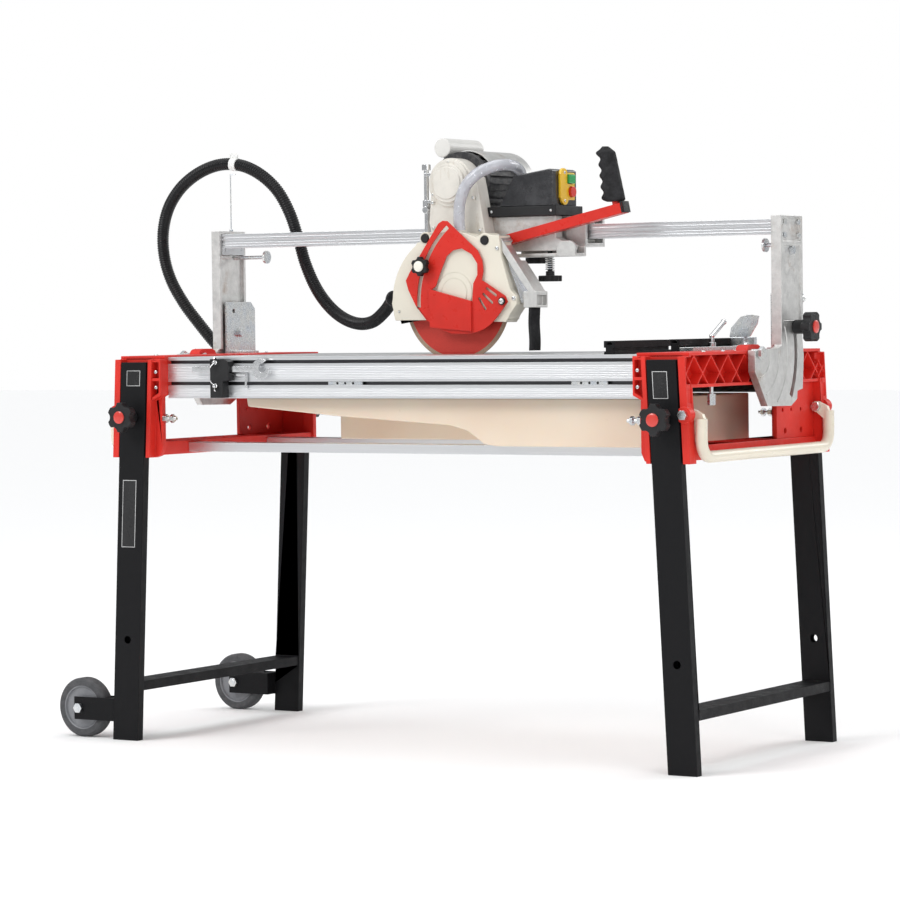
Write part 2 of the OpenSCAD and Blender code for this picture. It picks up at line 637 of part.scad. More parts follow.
module fan_cover() color("silver") place() difference() {
  union() {
    ycyl([motor_x, 172.3, motor_z], motor_r + 4, 46);
    // visor over the fins
    difference() {
      ycyl([motor_x, 58, motor_z], motor_r + 4, 115);
      ycyl([motor_x, 50, motor_z], motor_r + 1.2, 140);
      box([motor_x - 100, 40, 1000], [motor_x + 100, 190, motor_z + 38]);
      box([motor_x - 100, 40, 1000], [motor_x - 14, 190, motor_z + 90]);
    }
  }
  ycyl([motor_x, 160, motor_z], motor_r, 54);
  for (a = [0:5]) translate([motor_x, 214, motor_z]) rotate([0, 60 * a, 0])
    for (r = [20, 34, 48]) translate([-5, -10, r]) cube([10, 30, 5]);
}
module capacitor() color("beige") place() difference() {
  union() {
    ycyl([-71, 34, 1227], 20, 136);
    box([-84, 60, 1190], [-56, 130, 1214]);
  }
  ycyl([motor_x, 50, motor_z], motor_r + 0.3, 100);
}

// Fixed cover of the blade, open below
module cover_outline() {
  intersection() {
    translate([0, arbor_z]) circle(r = 141);
    translate([-160, 870]) square([320, 200]);
  }
  polygon([[-139, 925], [-143, 905], [-136, 876], [-60, 872], [60, 868], [130, 864], [140, 880], [156, 900],
    [156, 916], [141, 930], [120, 1000], [116, 1040], [76, 1044], [40, 1030], [0, 1000], [-60, 1030],
    [-80, 1030], [-90, 1010]]);
  translate([-60, 1038]) circle(r = 13);
  translate([82, 1031]) circle(r = 15);
}
module fixed_guard() color("beige") place() difference() {
  union() {
    xz(-56, 46) cover_outline();
    // stepped dome over the flange
    ycyl([10, -59, 925], 30, 4);
    ycyl([10, -57.5, 925], 42, 3);
    ycyl([hinge_x, -58.5, hinge_z], 10, 4);
    ycyl([-59, -58.5, 980.2], 9, 4);
  }
  intersection() {
    ycyl([0, -51, arbor_z], 132, 33);
    box([-150, -51, 780], [150, -18, 1036]);
  }
  box([-120, -51, 850], [120, -18, 905]);
  ycyl([0, -20, arbor_z], 14, 12);
  ycyl([hinge_x, -60, hinge_z], 4, 12);
  ycyl([-59, -60, 980.2], 4, 6);
  ycyl([-125, -60, 888], 2.5, 12);
  for (p = [[-60, 1038], [82, 1031]]) ycyl([p[0], -60, p[1]], 9.5, 9);
}

// Arm with the rubber flap that catches the spray
module splash_arm() color("silver") place() difference() {
  union() {
    xz(-50, 44) polygon([[84, 1038], [112, 1042], [170, 962], [196, 925], [186, 918], [160, 950], [106, 1026],
      [84, 1026]]);
    box([168, -50, 893], [200, -6, 926]);
  }
  xz(-45, 50) polygon([[116, 1024], [122, 1032], [188, 932], [182, 926]]);
  box([175.7, -47, 880], [186.3, -9, 918]);
  box([190, -47, 898], [210, -9, 918]);
  xz(-57, 48) cover_outline();
}
module splash_flap() color("black") place() box([176, -46.5, 806], [186, -9.5, 917]);

module switch_box() color("dimgray") place() difference() {
  xz(20, 100) polygon([[72, 1100.5], [199, 1100.5], [199, 1172], [192, 1175], [108, 1163]]);
  xz(24, 92) polygon([[78, 1090], [195, 1090], [195, 1168], [112, 1159]]);
}
module switch_base() color("black") place() difference() {
  union() {
    box([46, 14, 1080], [210, 126, 1100]);
    xz(26, 14) polygon([[90, 1099], [180, 1099], [180, 1150], [120, 1140]]);
  }
  xz(-11, 42) casing_outline(0.3);
}
module switch_plate() color("gold") place() difference() {
  yz(199.3, 6) union() {
    translate([44, 1116]) square([30, 48]);
    translate([59, 1162]) circle(r = 15);
    translate([62, 1116.5]) circle(r = 15);
    translate([64, 1112]) square([38, 56]);
  }
  yz(198, 10) translate([71.8, 1145.8]) square([26.4, 18.4]);
  xcyl([198, 88, 1129], 11.2, 10);
}
module green_button() color("green") place() box([202.2, 72, 1146], [210, 98, 1164]);
module red_button() color("red") place() xcyl([202.2, 88, 1129], 11, 9);

// Sloping handle tube and moulded grip
module handle_arm() color("red") place() {
  difference() {
    xz(5, 25) polygon([[90, 1020], [370, 1080.7], [366, 1101.5], [88, 1041]]);
    xz(8, 19) polygon([[92, 1024], [340, 1077.8], [336, 1091.6], [92, 1038.6]]);
  }
  translate([349, 17.5, 1094]) rotate([0, -10, 0]) cylinder(r = 8, h = 20);
}
module grip() color("black") place() difference() {
  intersection() {
    xz(0, 35) polygon([[322, 1104], [320, 1112], [327, 1120], [320, 1132], [326, 1143], [318, 1155],
      [323, 1166], [313, 1178], [316, 1186], [304, 1194], [306, 1203], [322, 1215], [347, 1210],
      [352, 1196], [373, 1112], [367, 1103.5]]);
    translate([346, 17.5, 1104]) rotate([0, -11, 0]) translate([0, 0, -20]) cylinder(r = 30, h = 160);
  }
  translate([349, 17.5, 1094]) rotate([0, -10, 0]) cylinder(r = 8.3, h = 20.5);
}

module clear_hose() color("lightblue") place() sweep(smooth(clear_path), clear_r, hose_sides);

// Chrome spring latch and bracket on the left of the belt casing
module water_tap() color("silver") place() difference() {
  union() {
    translate([-92, 4, 1104]) cylinder(r = 5, h = 88);
    translate([-92, 4, 1180]) cylinder(r = 9, h = 12);
    translate([-92, 4, 1104]) cylinder(r = 8, h = 14);
    box([-94, -2, 1112], [-60, 10, 1118]);
    box([-94, -2, 1168], [-60, 10, 1174]);
    box([-94, -2, 1046], [-86, 10, 1108]);
    ycyl([-90, -6, 1098], 7, 20);
  }
  xz(-11, 42) casing_outline(0.1);
}
// Two cover knobs, the guard's hinge screw and the stud of its knob
module guard_screws() color("black") place() {
  for (p = [[-60, 1038], [82, 1031]]) ycyl([p[0], -59, p[1]], 9, 8);
  ycyl([hinge_x, -66.4, hinge_z], 5, 7.6);
  ycyl([hinge_x, -69, hinge_z], 8, 2.8);
  ycyl([hinge_x, -60, hinge_z], 3.7, 11);
  ycyl([-59, -78, 980.2], 3.9, 19.2);
  ycyl([-59, -60, 980.2], 3.7, 5.6);
}

// ---------- moving guard ----------

module moving_guard() color("crimson") place() difference() {
  union() {
    xz(guard_y - 1, 3) difference() {
      polygon([[-14, 1073], [-2, 1072], [36, 1039], [69, 1011], [80, 990], [82, 968], [78, 950], [86, 946],
        [134, 917], [139, 905], [124, 887], [112, 873], [98, 860], [84, 851], [64, 844], [44, 841],
        [5, 842], [-28, 853], [-55, 870], [-80, 899], [-98, 932], [-104, 952], [-94, 969], [-67, 1006],
        [-24, 1067]]);
      polygon([[-46, 930], [-32, 939], [-21, 966], [-5, 1000], [11, 1012], [31, 1015.5], [55, 1003],
        [68, 984], [68, 961], [58, 944], [55, 905]]);
      // three short vents
      for (k = [[90, 933, 111, 919], [82, 921.5, 102, 904], [72, 912.5, 86, 891.5]]) hull() {
        translate([k[0], k[1]]) circle(r = 2.6, $fn = 16);
        translate([k[2], k[3]]) circle(r = 2.6, $fn = 16);
      }
    }
    // raised front panel
    xz(guard_y - 6, 6) polygon([[-46, 934], [55, 908], [55, 846], [-44, 855]]);
  }
  // curved slot about the hinge screw
  xz(guard_y - 2, 6) polygon(concat(arc_pts([hinge_x, hinge_z], guard_slot_r - 4.4, 130, 183, 20),
    arc_pts([hinge_x, hinge_z], guard_slot_r + 4.4, 183, 130, 20)));
  ycyl([hinge_x, guard_y - 10, hinge_z], 5.05, 20);
}
module guard_knob() color("black") place() {
  translate([-59, guard_y - 1.5, 980.2]) rotate([90, 0, 0]) star(20, 12, 9, 8, 3.95, 16);
}

// ---------- drive ----------

// Motor shaft with its rotor, fan and small pulley
module motor_rotor() color("silver") place() {
  ycyl([motor_x, -2, motor_z], 10, 210);
  ycyl([motor_x, 50, motor_z], 42, 90);
  ycyl([motor_x, 0, motor_z], pulley_r, 22);
  for (i = [0:7]) translate([motor_x, 178, motor_z]) rotate([0, 45 * i, 0])
    translate([-2, 0, 8]) cube([4, 24, 48]);
}
// Toothless stand-in for the flat drive belt: a loop round two equal pulleys
module belt_loop(r) {
  u = unit([motor_x, motor_z - arbor_z]);
  v = [-u[1], u[0]] * r;
  translate([motor_x, motor_z]) circle(r = r);
  translate([0, arbor_z]) circle(r = r);
  polygon([[motor_x, motor_z] + v, [0, arbor_z] + v, [0, arbor_z] - v, [motor_x, motor_z] - v]);
}
module drive_belt() color("black") place() xz(2, 16) difference() {
  belt_loop(pulley_r + 4.3);
  belt_loop(pulley_r + 0.3);
}
module arbor() color("silver") place() {
  ycyl([0, -46, arbor_z], 8, 62);
  ycyl([0, -19.6, arbor_z], 12, 19.6);
  ycyl([0, 0, arbor_z], pulley_r, 20);
  ycyl([0, blade_y + blade_t / 2, arbor_z], 30, 5);
  ycyl([0, blade_y - blade_t / 2 - 5, arbor_z], 30, 5);
  hex_y([0, -46, arbor_z], 14, 12);
}
module blade() color("crimson") place() difference() {
  ycyl([0, blade_y - blade_t / 2, arbor_z], blade_d / 2, blade_t);
  ycyl([0, blade_y - 5, arbor_z], 8.3, 10);
}

// ---------- cross rule ----------

module rule_profile() difference() {
  translate([478, table_z]) square([24, 26]);
  translate([487, table_z + 20]) square([6, 8]);
  translate([484, table_z + 18]) square([12, 4]);
  translate([477, table_z + 6]) square([5, 7]);
  translate([498, table_z + 6]) square([5, 7]);
}
module rule_bars() color("black") place() {
  xz(-rail_y, rail_y + slot_y0 - 2) rule_profile();
  xz(slot_y1 + 2, rail_y - slot_y1 - 2) rule_profile();
}
module rule_bracket() color("lightgray") place() {
  box([502, slot_y1 + 2, table_z], [532, 214, table_z + 10]);
  difference() {
    box([502, 213, table_z], [532, 274, table_z + 27]);
    box([510, 226, table_z + 8], [540, 262, table_z + 40]);
  }
  xcyl([531, 220, table_z + 12], 6, 8);
  // sprung steel tongue
  xz(217, 3) polygon([[503, table_z + 26], [531, table_z + 26], [545, table_z + 29], [562, table_z + 54],
    [566, table_z + 71], [545, table_z + 74], [525, table_z + 70], [502, table_z + 47],
    [498, table_z + 29]]);
}
module rule_lever() color("silver") place() {
  translate([517, 102, table_z + 10.3]) cylinder(r = 8, h = 8);
  translate([517, 102, table_z + 16]) cylinder(r = 5, h = 16);
  translate([517, 102, table_z + 31]) sphere(r = 5.5);
  translate([517, 102, table_z + 31]) rotate([-62, 0, 0]) cylinder(r = 5, h = 60);
  translate([517, 102, table_z + 31]) rotate([-62, 0, 0]) translate([0, 0, 60]) sphere(r = 6);
}

module main_hose() color("black") place() sweep(smooth(hose_path), hose_r, hose_sides);

side_rails();
table_plates();
end_castings();
lower_rails();
water_tank();
pump();
tilt_plates();
tilt_pins();
clamp_studs();
tool_holder();
spare_tools();
frame_bolts();
leg_frame_left();
leg_frame_right();
axle_bolts();
wheel_front();
wheel_rear();
knob_front_left();
knob_front_right();
knob_rear_left();
knob_rear_right();
bail_left();
bail_right();
uprights();
bridge_bar();
gantry_hardware();
tilt_knob();
carriage_body();
glides();
lock_knob();
depth_screw();
depth_spring();
head_frame();
belt_casing();
motor_housing();
fan_cover();
capacitor();
fixed_guard();
splash_arm();
splash_flap();
switch_box();
switch_base();
switch_plate();
handle_arm();
grip();
clear_hose();
water_tap();
guard_screws();
moving_guard();
guard_knob();
motor_rotor();
drive_belt();
arbor();
blade();
green_button();
red_button();
rule_bars();
rule_bracket();
rule_lever();
main_hose();
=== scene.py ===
"""Wet tile saw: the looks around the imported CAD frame. Metres, +Z up, -Y towards the person using it."""

import json
import math

import bmesh
import bpy
from mathutils import Matrix, Vector


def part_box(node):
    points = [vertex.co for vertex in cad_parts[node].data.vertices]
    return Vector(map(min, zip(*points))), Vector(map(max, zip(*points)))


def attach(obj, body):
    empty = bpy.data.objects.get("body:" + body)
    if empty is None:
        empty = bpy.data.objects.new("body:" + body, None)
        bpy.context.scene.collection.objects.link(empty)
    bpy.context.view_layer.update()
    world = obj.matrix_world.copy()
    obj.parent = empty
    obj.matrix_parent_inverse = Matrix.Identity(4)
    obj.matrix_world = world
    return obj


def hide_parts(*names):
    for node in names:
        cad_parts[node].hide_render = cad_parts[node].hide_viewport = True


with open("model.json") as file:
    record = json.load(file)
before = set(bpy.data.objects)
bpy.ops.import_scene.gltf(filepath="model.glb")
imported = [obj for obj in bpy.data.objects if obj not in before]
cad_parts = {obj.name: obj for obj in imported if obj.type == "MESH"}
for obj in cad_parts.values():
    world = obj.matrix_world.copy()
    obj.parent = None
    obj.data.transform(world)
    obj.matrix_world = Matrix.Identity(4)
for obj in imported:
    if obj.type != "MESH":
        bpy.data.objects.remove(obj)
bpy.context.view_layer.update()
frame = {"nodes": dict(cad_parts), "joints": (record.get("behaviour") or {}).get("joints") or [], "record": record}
NODES = frame["nodes"]
JOINTS = {j["name"]: j for j in frame["joints"]}
SLOT_OF = {s["node"]: s["material_slot"] for s in frame["record"]["subparts"]}
MM = 0.001
MIDDLE = Vector((0.05125, 0, 0))


def at(x, y, z):
    """A point given in millimetres from the middle of the table, in the shared frame."""
    return MIDDLE + Vector((x, y, z)) * MM


def pivot(joint):
    return Vector(JOINTS[joint]["pos_m"])


# ---------- camera ----------


def make_camera():
    data = bpy.data.cameras.new("camera")
    data.lens = 140
    data.sensor_width = 36
    data.clip_end = 200
    camera = bpy.data.objects.new("camera", data)
    bpy.context.scene.collection.objects.link(camera)
    right = Vector((0.85341, 0.52110, -0.01278))
    up = Vector((-0.00877, 0.03886, 0.99922))
    back = right.cross(up)
    turn = Matrix((right, up, back)).transposed()
    camera.matrix_world = Matrix.Translation((3.78528, -6.17498, 0.87430)) @ turn.to_4x4()
    bpy.context.scene.camera = camera


# ---------- shapes ----------


class Shape:
    """Vertices and faces of one piece, gathered from simple closed parts."""

    def __init__(self):
        self.verts = []
        self.faces = []

    def add(self, verts, faces):
        start = len(self.verts)
        self.verts += [Vector(v) for v in verts]
        self.faces += [[start + i for i in f] for f in faces]
        return self

    def rings(self, rings, closed=False):
        """A skin over rings of equal size, with flat ends, or joined end to end when closed."""
        size = len(rings[0])
        verts = [p for ring in rings for p in ring]
        faces = []
        for i in range(len(rings) if closed else len(rings) - 1):
            a, b = i * size, (i + 1) % len(rings) * size
            faces += [[a + k, a + (k + 1) % size, b + (k + 1) % size, b + k] for k in range(size)]
        if not closed:
            faces.append(list(range(size))[::-1])
            faces.append([(len(rings) - 1) * size + k for k in range(size)])
        return self.add(verts, faces)

    def lathe(self, origin, axis, profile, segments=32, closed=False):
        """Rings of (radius, distance along the axis) about a line."""
        axis = Vector(axis).normalized()
        side = axis.orthogonal().normalized()
        other = axis.cross(side)
        rings = []
        for radius, along in profile:
            angles = [2 * math.pi * k / segments for k in range(segments)]
            rings.append([
                Vector(origin) + axis * along + (side * math.cos(a) + other * math.sin(a)) * radius
                for a in angles
            ])
        return self.rings(rings, closed)

    def tube(self, points, radii, sides=16, closed=False):
        """A tube along points, with a radius for each point."""
        rings = []
        for p, side, other, radius in frames_along(points, radii):
            angles = [2 * math.pi * k / sides for k in range(sides)]
            rings.append([p + (side * math.cos(a) + other * math.sin(a)) * radius for a in angles])
        return self.rings(rings, closed)

    def prism(self, outline, depth):
        """A flat outline of points pushed along depth."""
        depth = Vector(depth)
        return self.rings([[Vector(p) for p in outline], [Vector(p) + depth for p in outline]])

    def block(self, low, high):
        x0, y0, z0 = low
        x1, y1, z1 = high
        outline = [(x0, y0, z0), (x1, y0, z0), (x1, y0, z1), (x0, y0, z1)]
        return self.prism(outline, (0, y1 - y0, 0))

    def build(self, name, body, material, slot=None, bevel=0.0, smooth=35):
        """Makes the object, lets it ride on a body and gives it its material."""
        mesh = bpy.data.meshes.new(name)
        mesh.from_pydata(self.verts, [], self.faces)
        mesh.validate()
        piece = bpy.data.objects.new(name, mesh)
        bpy.context.scene.collection.objects.link(piece)
        face_outwards(mesh)
        mesh.shade_smooth()
        mesh.set_sharp_from_angle(angle=math.radians(smooth))
        mesh.materials.append(material)
        if bevel:
            soften(piece, bevel)
        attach(piece, body)
        return piece


def face_outwards(mesh):
    bm = bmesh.new()
    bm.from_mesh(mesh)
    bmesh.ops.recalc_face_normals(bm, faces=bm.faces)
    bm.to_mesh(mesh)
    bm.free()


def frames_along(points, radii):
    """Each point of a line with two directions across it that turn as little as possible."""
    side = None
    for i, p in enumerate(points):
        ahead = points[min(i + 1, len(points) - 1)] - points[max(i - 1, 0)]
        ahead.normalize()
        side = ahead.orthogonal() if side is None else side - ahead * side.dot(ahead)
        side.normalize()
        yield p, side, ahead.cross(side), radii[i]


def smooth_line(points, step):
    """Points about a step apart on one smooth curve through the given points."""
    line = []
    for i in range(len(points) - 1):
        a = points[max(i - 1, 0)]
        b, c = points[i], points[i + 1]
        d = points[min(i + 2, len(points) - 1)]
        count = max(1, round((c - b).length / step))
        for k in range(count):
            t = k / count
            line.append(0.5 * (2 * b + (c - a) * t + (2 * a - 5 * b + 4 * c - d) * t**2
                               + (3 * b - a - 3 * c + d) * t**3))
    line.append(points[-1])
    return line


def length_of(line):
    return sum((b - a).length for a, b in zip(line, line[1:]))


def soften(piece, width, segments=2, angle=32):
    """Rounds the edges in the render and keeps flat faces flat."""
    weld = piece.modifiers.new("weld", "WELD")
    weld.merge_threshold = 1e-6
    flat = piece.modifiers.new("flat faces", "DECIMATE")
    flat.decimate_type = "DISSOLVE"
    flat.angle_limit = math.radians(0.6)
    bevel = piece.modifiers.new("bevel", "BEVEL")
    bevel.width = width
    bevel.segments = segments
    bevel.limit_method = "ANGLE"
    bevel.angle_limit = math.radians(angle)
    bevel.use_clamp_overlap = False
    bevel.miter_outer = "MITER_ARC"
    normals = piece.modifiers.new("normals", "WEIGHTED_NORMAL")
    normals.keep_sharp = False
    normals.weight = 60


# ---------- materials ----------


class Finish:
    """A Principled material whose colour, gloss and bumps come from procedural textures in object space."""

    def __init__(self, name, colour, rough=0.5, metal=0.0, **sockets):
        self.material = bpy.data.materials.new(name)
        self.material.use_nodes = True
        tree = self.material.node_tree
        self.nodes, self.links = tree.nodes, tree.links
        self.shader = self.nodes["Principled BSDF"]
        self.coords = self.nodes.new("ShaderNodeTexCoord").outputs["Object"]
        self.colour = (*colour, 1)
        self.normal = None
        self.shader.inputs["Base Color"].default_value = self.colour
        self.shader.inputs["Roughness"].default_value = rough
        self.shader.inputs["Metallic"].default_value = metal
        for socket, value in sockets.items():
            self.shader.inputs[socket.replace("_", " ")].default_value = value

    def link(self, output, target):
        self.links.new(output, target)

    def stretched(self, x, y, z):
        """Object coordinates scaled apart, for streaks and brushed grain."""
        node = self.nodes.new("ShaderNodeMapping")
        node.inputs["Scale"].default_value = (x, y, z)
        self.link(self.coords, node.inputs["Vector"])
        return node.outputs["Vector"]

    def noise(self, scale, detail=4.0, rough=0.6, vector=None):
        node = self.nodes.new("ShaderNodeTexNoise")
        node.inputs["Scale"].default_value = scale
        node.inputs["Detail"].default_value = detail
        node.inputs["Roughness"].default_value = rough
        self.link(vector or self.coords, node.inputs["Vector"])
        return node.outputs["Fac"]

    def cells(self, scale, vector=None):
        node = self.nodes.new("ShaderNodeTexVoronoi")
        node.inputs["Scale"].default_value = scale
        self.link(vector or self.coords, node.inputs["Vector"])
        return node.outputs["Distance"]

    def ramp(self, value, low, high, a=(0, 0, 0), b=(1, 1, 1)):
        """Colour a below low, colour b above high, and a blend between."""
        node = self.nodes.new("ShaderNodeValToRGB")
        first, last = node.color_ramp.elements
        first.position, last.position = low, high
        first.color, last.color = (*a, 1), (*b, 1)
        self.link(value, node.inputs["Fac"])
        return node.outputs["Color"]

    def range(self, value, low, high, a, b):
        node = self.nodes.new("ShaderNodeMapRange")
        node.inputs["From Min"].default_value = low
        node.inputs["From Max"].default_value = high
        node.inputs["To Min"].default_value = a
        node.inputs["To Max"].default_value = b
        self.link(value, node.inputs["Value"])
        return node.outputs["Result"]

    def mix(self, mask, a, b):
        """Colour a where the mask is 0, colour b where it is 1. Each is a colour or a socket."""
        node = self.nodes.new("ShaderNodeMix")
        node.data_type = "RGBA"
        self.link(mask, node.inputs[0])
        for value, socket in ((a, node.inputs[6]), (b, node.inputs[7])):
            if isinstance(value, tuple):
                socket.default_value = (*value[:3], 1)
            else:
                self.link(value, socket)
        return node.outputs[2]

    def distance(self, centre, flat=(1, 1, 1)):
        """Distance from a point, or from a line along the direction that flat sets to 0."""
        scaled = self.stretched(*flat)
        node = self.nodes.new("ShaderNodeVectorMath")
        node.operation = "DISTANCE"
        self.link(scaled, node.inputs[0])
        node.inputs[1].default_value = [c * f for c, f in zip(centre, flat)]
        return node.outputs["Value"]

    def paint(self, output):
        self.link(output, self.shader.inputs["Base Color"])
        return self

    def gloss(self, output):
        self.link(output, self.shader.inputs["Roughness"])
        return self

    def bump(self, height, distance, strength=1.0):
        """Adds a layer of relief of that height in metres."""
        node = self.nodes.new("ShaderNodeBump")
        node.inputs["Distance"].default_value = distance
        node.inputs["Strength"].default_value = strength
        self.link(height, node.inputs["Height"])
        if self.normal is not None:
            self.link(self.normal, node.inputs["Normal"])
        self.normal = node.outputs["Normal"]
        self.link(self.normal, self.shader.inputs["Normal"])
        return self


def shade(colour, factor):
    return tuple(min(1.0, c * factor) for c in colour)


def powder_coat(name, colour, rough=0.38, metal=0.0, grain=0.00012):
    f = Finish(name, colour, rough, metal, Specular_IOR_Level=0.3)
    cloud = f.noise(9, 3)
    f.paint(f.ramp(cloud, 0.3, 0.7, shade(colour, 0.88), shade(colour, 1.1)))
    f.gloss(f.range(f.noise(60, 5), 0.3, 0.7, rough - 0.06, rough + 0.1))
    return f.bump(f.noise(900, 2), grain)


def textured_black(name):
    """Black powder coat with a fine wrinkle, and small sparks of light painted into its colour as lighter specks.
    """
    f = Finish(name, (0.008, 0.008, 0.009), 0.42, Specular_IOR_Level=0.14)
    # painted highlight: lighter specks in the colour stand in for glints off the wrinkle
    glint_specks = f.ramp(f.cells(1400), 0.05, 0.25, (0.035, 0.035, 0.038), (0.007, 0.007, 0.008))
    wear = f.ramp(f.noise(25, 8, 0.75), 0.66, 0.8)
    f.paint(f.mix(wear, glint_specks, (0.024, 0.024, 0.026)))
    f.gloss(f.range(f.noise(45, 5), 0.3, 0.7, 0.38, 0.58))
    f.bump(f.noise(700, 3), 0.00025)
    return f.bump(f.cells(1100), 0.00012)


def extruded(name, colour=(0.74, 0.75, 0.765)):
    """Anodised extrusion with die lines along X and a few handling marks."""
    f = Finish(name, colour, 0.32, 0.9, Anisotropic=0.5)
    die_lines = f.noise(1, 3, 0.5, f.stretched(4, 900, 900))
    f.paint(f.ramp(die_lines, 0.25, 0.75, shade(colour, 0.93), shade(colour, 1.05)))
    marks = f.range(f.noise(1, 6, 0.7, f.stretched(18, 120, 120)), 0.45, 0.75, 0.3, 0.4)
    f.gloss(marks)
    return f.bump(die_lines, 0.00006)


def grooved_rail(name):
    """The extruded metal of the side rails, with painted shade down in the grooves of their faces."""
    f = extruded(name)
    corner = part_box("side_rails")[1]
    deep, shallow = 0.0022, 0.0012
    top_from, top_to = 0.003, 0.004
    clean = f.shader.inputs["Base Color"].links[0].from_socket
    from_middle = f.distance((0, 0, 0), (0, 1, 0))
    from_top = f.distance((0, 0, corner.z), (0, 0, 1))
    # painted shade: faces set back in the grooves are darkened to near black, except close to the top edge
    groove_shade_mask = f.range(from_middle, corner.y - deep, corner.y - shallow, 1, 0)
    groove_shade = f.mix(groove_shade_mask, clean, (0.07, 0.07, 0.075))
    f.paint(f.mix(f.range(from_top, top_from, top_to, 0, 1), clean, groove_shade))
    return f


def worktop(name):
    """Aluminium table plate: brushed along X, with cross scratches and dried water marks."""
    colour = (0.62, 0.63, 0.64)
    f = Finish(name, colour, 0.4, 0.85)
    brushed = f.noise(1, 3, 0.6, f.stretched(14, 700, 60))
    stains = f.ramp(f.noise(7, 6, 0.7), 0.48, 0.62)
    base = f.ramp(brushed, 0.3, 0.7, shade(colour, 0.9), shade(colour, 1.08))
    f.paint(f.mix(stains, base, (0.55, 0.55, 0.53)))
    f.gloss(f.range(f.noise(11, 6, 0.7), 0.4, 0.65, 0.3, 0.55))
    f.bump(brushed, 0.00005)
    return f.bump(f.noise(1, 2, 0.5, f.stretched(500, 12, 60)), 0.00003)


def cast(name, colour=(0.66, 0.655, 0.64), warm=(0.42, 0.33, 0.27)):
    """Bare cast aluminium: mottled skin, small pits and a faint brown bloom."""
    f = Finish(name, colour, 0.42, 0.85)
    mottled = f.ramp(f.noise(55, 7, 0.7), 0.3, 0.72, shade(colour, 0.84), shade(colour, 1.1))
    bloom = f.ramp(f.noise(12, 6, 0.75), 0.58, 0.78)
    f.paint(f.mix(bloom, mottled, warm))
    f.gloss(f.range(f.noise(80, 6), 0.3, 0.7, 0.3, 0.56))
    f.bump(f.noise(420, 6, 0.7), 0.00035)
    return f.bump(f.noise(70, 3), 0.0006, 0.5)


def zinc(name):
    """Passivated zinc plate with a faint blue and straw cast."""
    f = Finish(name, (0.66, 0.69, 0.72), 0.28, 1.0)
    f.paint(f.ramp(f.noise(38, 5, 0.7), 0.32, 0.68, (0.62, 0.66, 0.71), (0.75, 0.74, 0.7)))
    f.gloss(f.range(f.noise(160, 5), 0.3, 0.7, 0.22, 0.36))
    return f.bump(f.noise(650, 4), 0.00008)


def polished(name):
    f = Finish(name, (0.82, 0.83, 0.84), 0.1, 1.0)
    f.paint(f.ramp(f.noise(30, 4), 0.3, 0.7, (0.7, 0.71, 0.72), (0.9, 0.9, 0.91)))
    f.gloss(f.range(f.noise(220, 6, 0.7), 0.35, 0.7, 0.06, 0.24))
    return f.bump(f.noise(300, 2), 0.00003)


def cream(name, colour, rough=0.42, deep=0.0):
    """Cream plastic or paint, a little uneven, with dust settled on it."""
    f = Finish(name, colour, rough, Subsurface_Weight=deep, Coat_Weight=0.2, Coat_Roughness=0.25)
    f.shader.inputs["Subsurface Radius"].default_value = (0.012, 0.008, 0.005)
    even = f.ramp(f.noise(6, 3), 0.3, 0.7, shade(colour, 0.93), shade(colour, 1.05))
    dust = f.ramp(f.noise(26, 8, 0.75), 0.6, 0.8)
    f.paint(f.mix(dust, even, shade(colour, 0.84)))
    f.gloss(f.range(f.noise(70, 5), 0.3, 0.7, rough - 0.08, rough + 0.12))
    return f.bump(f.noise(1100, 2), 0.00008)


def tank_plastic(name):
    """Thick moulded sheet: cream with a rosy bloom where light goes through it."""
    colour = (0.77, 0.66, 0.53)
    f = Finish(name, colour, 0.4, Subsurface_Weight=0.25, Coat_Weight=0.15, Coat_Roughness=0.3)
    f.shader.inputs["Subsurface Radius"].default_value = (0.03, 0.015, 0.008)
    rosy = f.ramp(f.noise(3.2, 2), 0.35, 0.65, (0.78, 0.67, 0.54), (0.73, 0.58, 0.45))
    f.paint(f.mix(f.ramp(f.noise(40, 8, 0.8), 0.62, 0.8), rosy, (0.62, 0.5, 0.38)))
    f.gloss(f.range(f.noise(30, 5), 0.3, 0.7, 0.3, 0.5))
    f.bump(f.noise(18, 2), 0.0012, 0.4)
    return f.bump(f.cells(800), 0.00008)


def moulded(name, colour, rough=0.48, grain=0.00018):
    """Moulded plastic with a leather-like grain and shiny worn spots."""
    f = Finish(name, colour, rough, Specular_IOR_Level=0.28)
    f.paint(f.ramp(f.noise(16, 5), 0.3, 0.7, shade(colour, 0.75), shade(colour, 1.35)))
    f.gloss(f.range(f.noise(35, 6, 0.7), 0.35, 0.7, rough - 0.14, rough + 0.1))
    return f.bump(f.cells(1500), grain)


def rubber(name, colour=(0.012, 0.012, 0.013)):
    f = Finish(name, colour, 0.7, Specular_IOR_Level=0.22)
    f.paint(f.ramp(f.noise(40, 7, 0.75), 0.4, 0.75, colour, shade(colour, 3.2)))
    f.gloss(f.range(f.noise(60, 5), 0.3, 0.7, 0.55, 0.82))
    return f.bump(f.noise(1300, 3), 0.00012)


def glossy(name, colour, rough=0.16):
    f = Finish(name, colour, rough, Coat_Weight=0.6, Coat_Roughness=0.08)
    f.paint(f.ramp(f.noise(20, 4), 0.3, 0.7, shade(colour, 0.9), shade(colour, 1.08)))
    f.gloss(f.range(f.noise(90, 6, 0.7), 0.4, 0.7, rough, rough + 0.14))
    return f.bump(f.noise(500, 2), 0.00004)


def smoked(name):
    """Smoked clear plastic over dark parts: glossy, greyer where dust shows through."""
    f = Finish(name, (0.07, 0.07, 0.075), 0.12, Transmission_Weight=0.25, IOR=1.49, Coat_Weight=0.3)
    f.shader.inputs["Coat Roughness"].default_value = 0.04
    f.paint(f.ramp(f.noise(14, 6, 0.7), 0.35, 0.75, (0.02, 0.02, 0.023), (0.09, 0.09, 0.095)))
    f.gloss(f.range(f.noise(50, 6, 0.7), 0.4, 0.7, 0.08, 0.22))
    return f.bump(f.noise(120, 2), 0.00006)


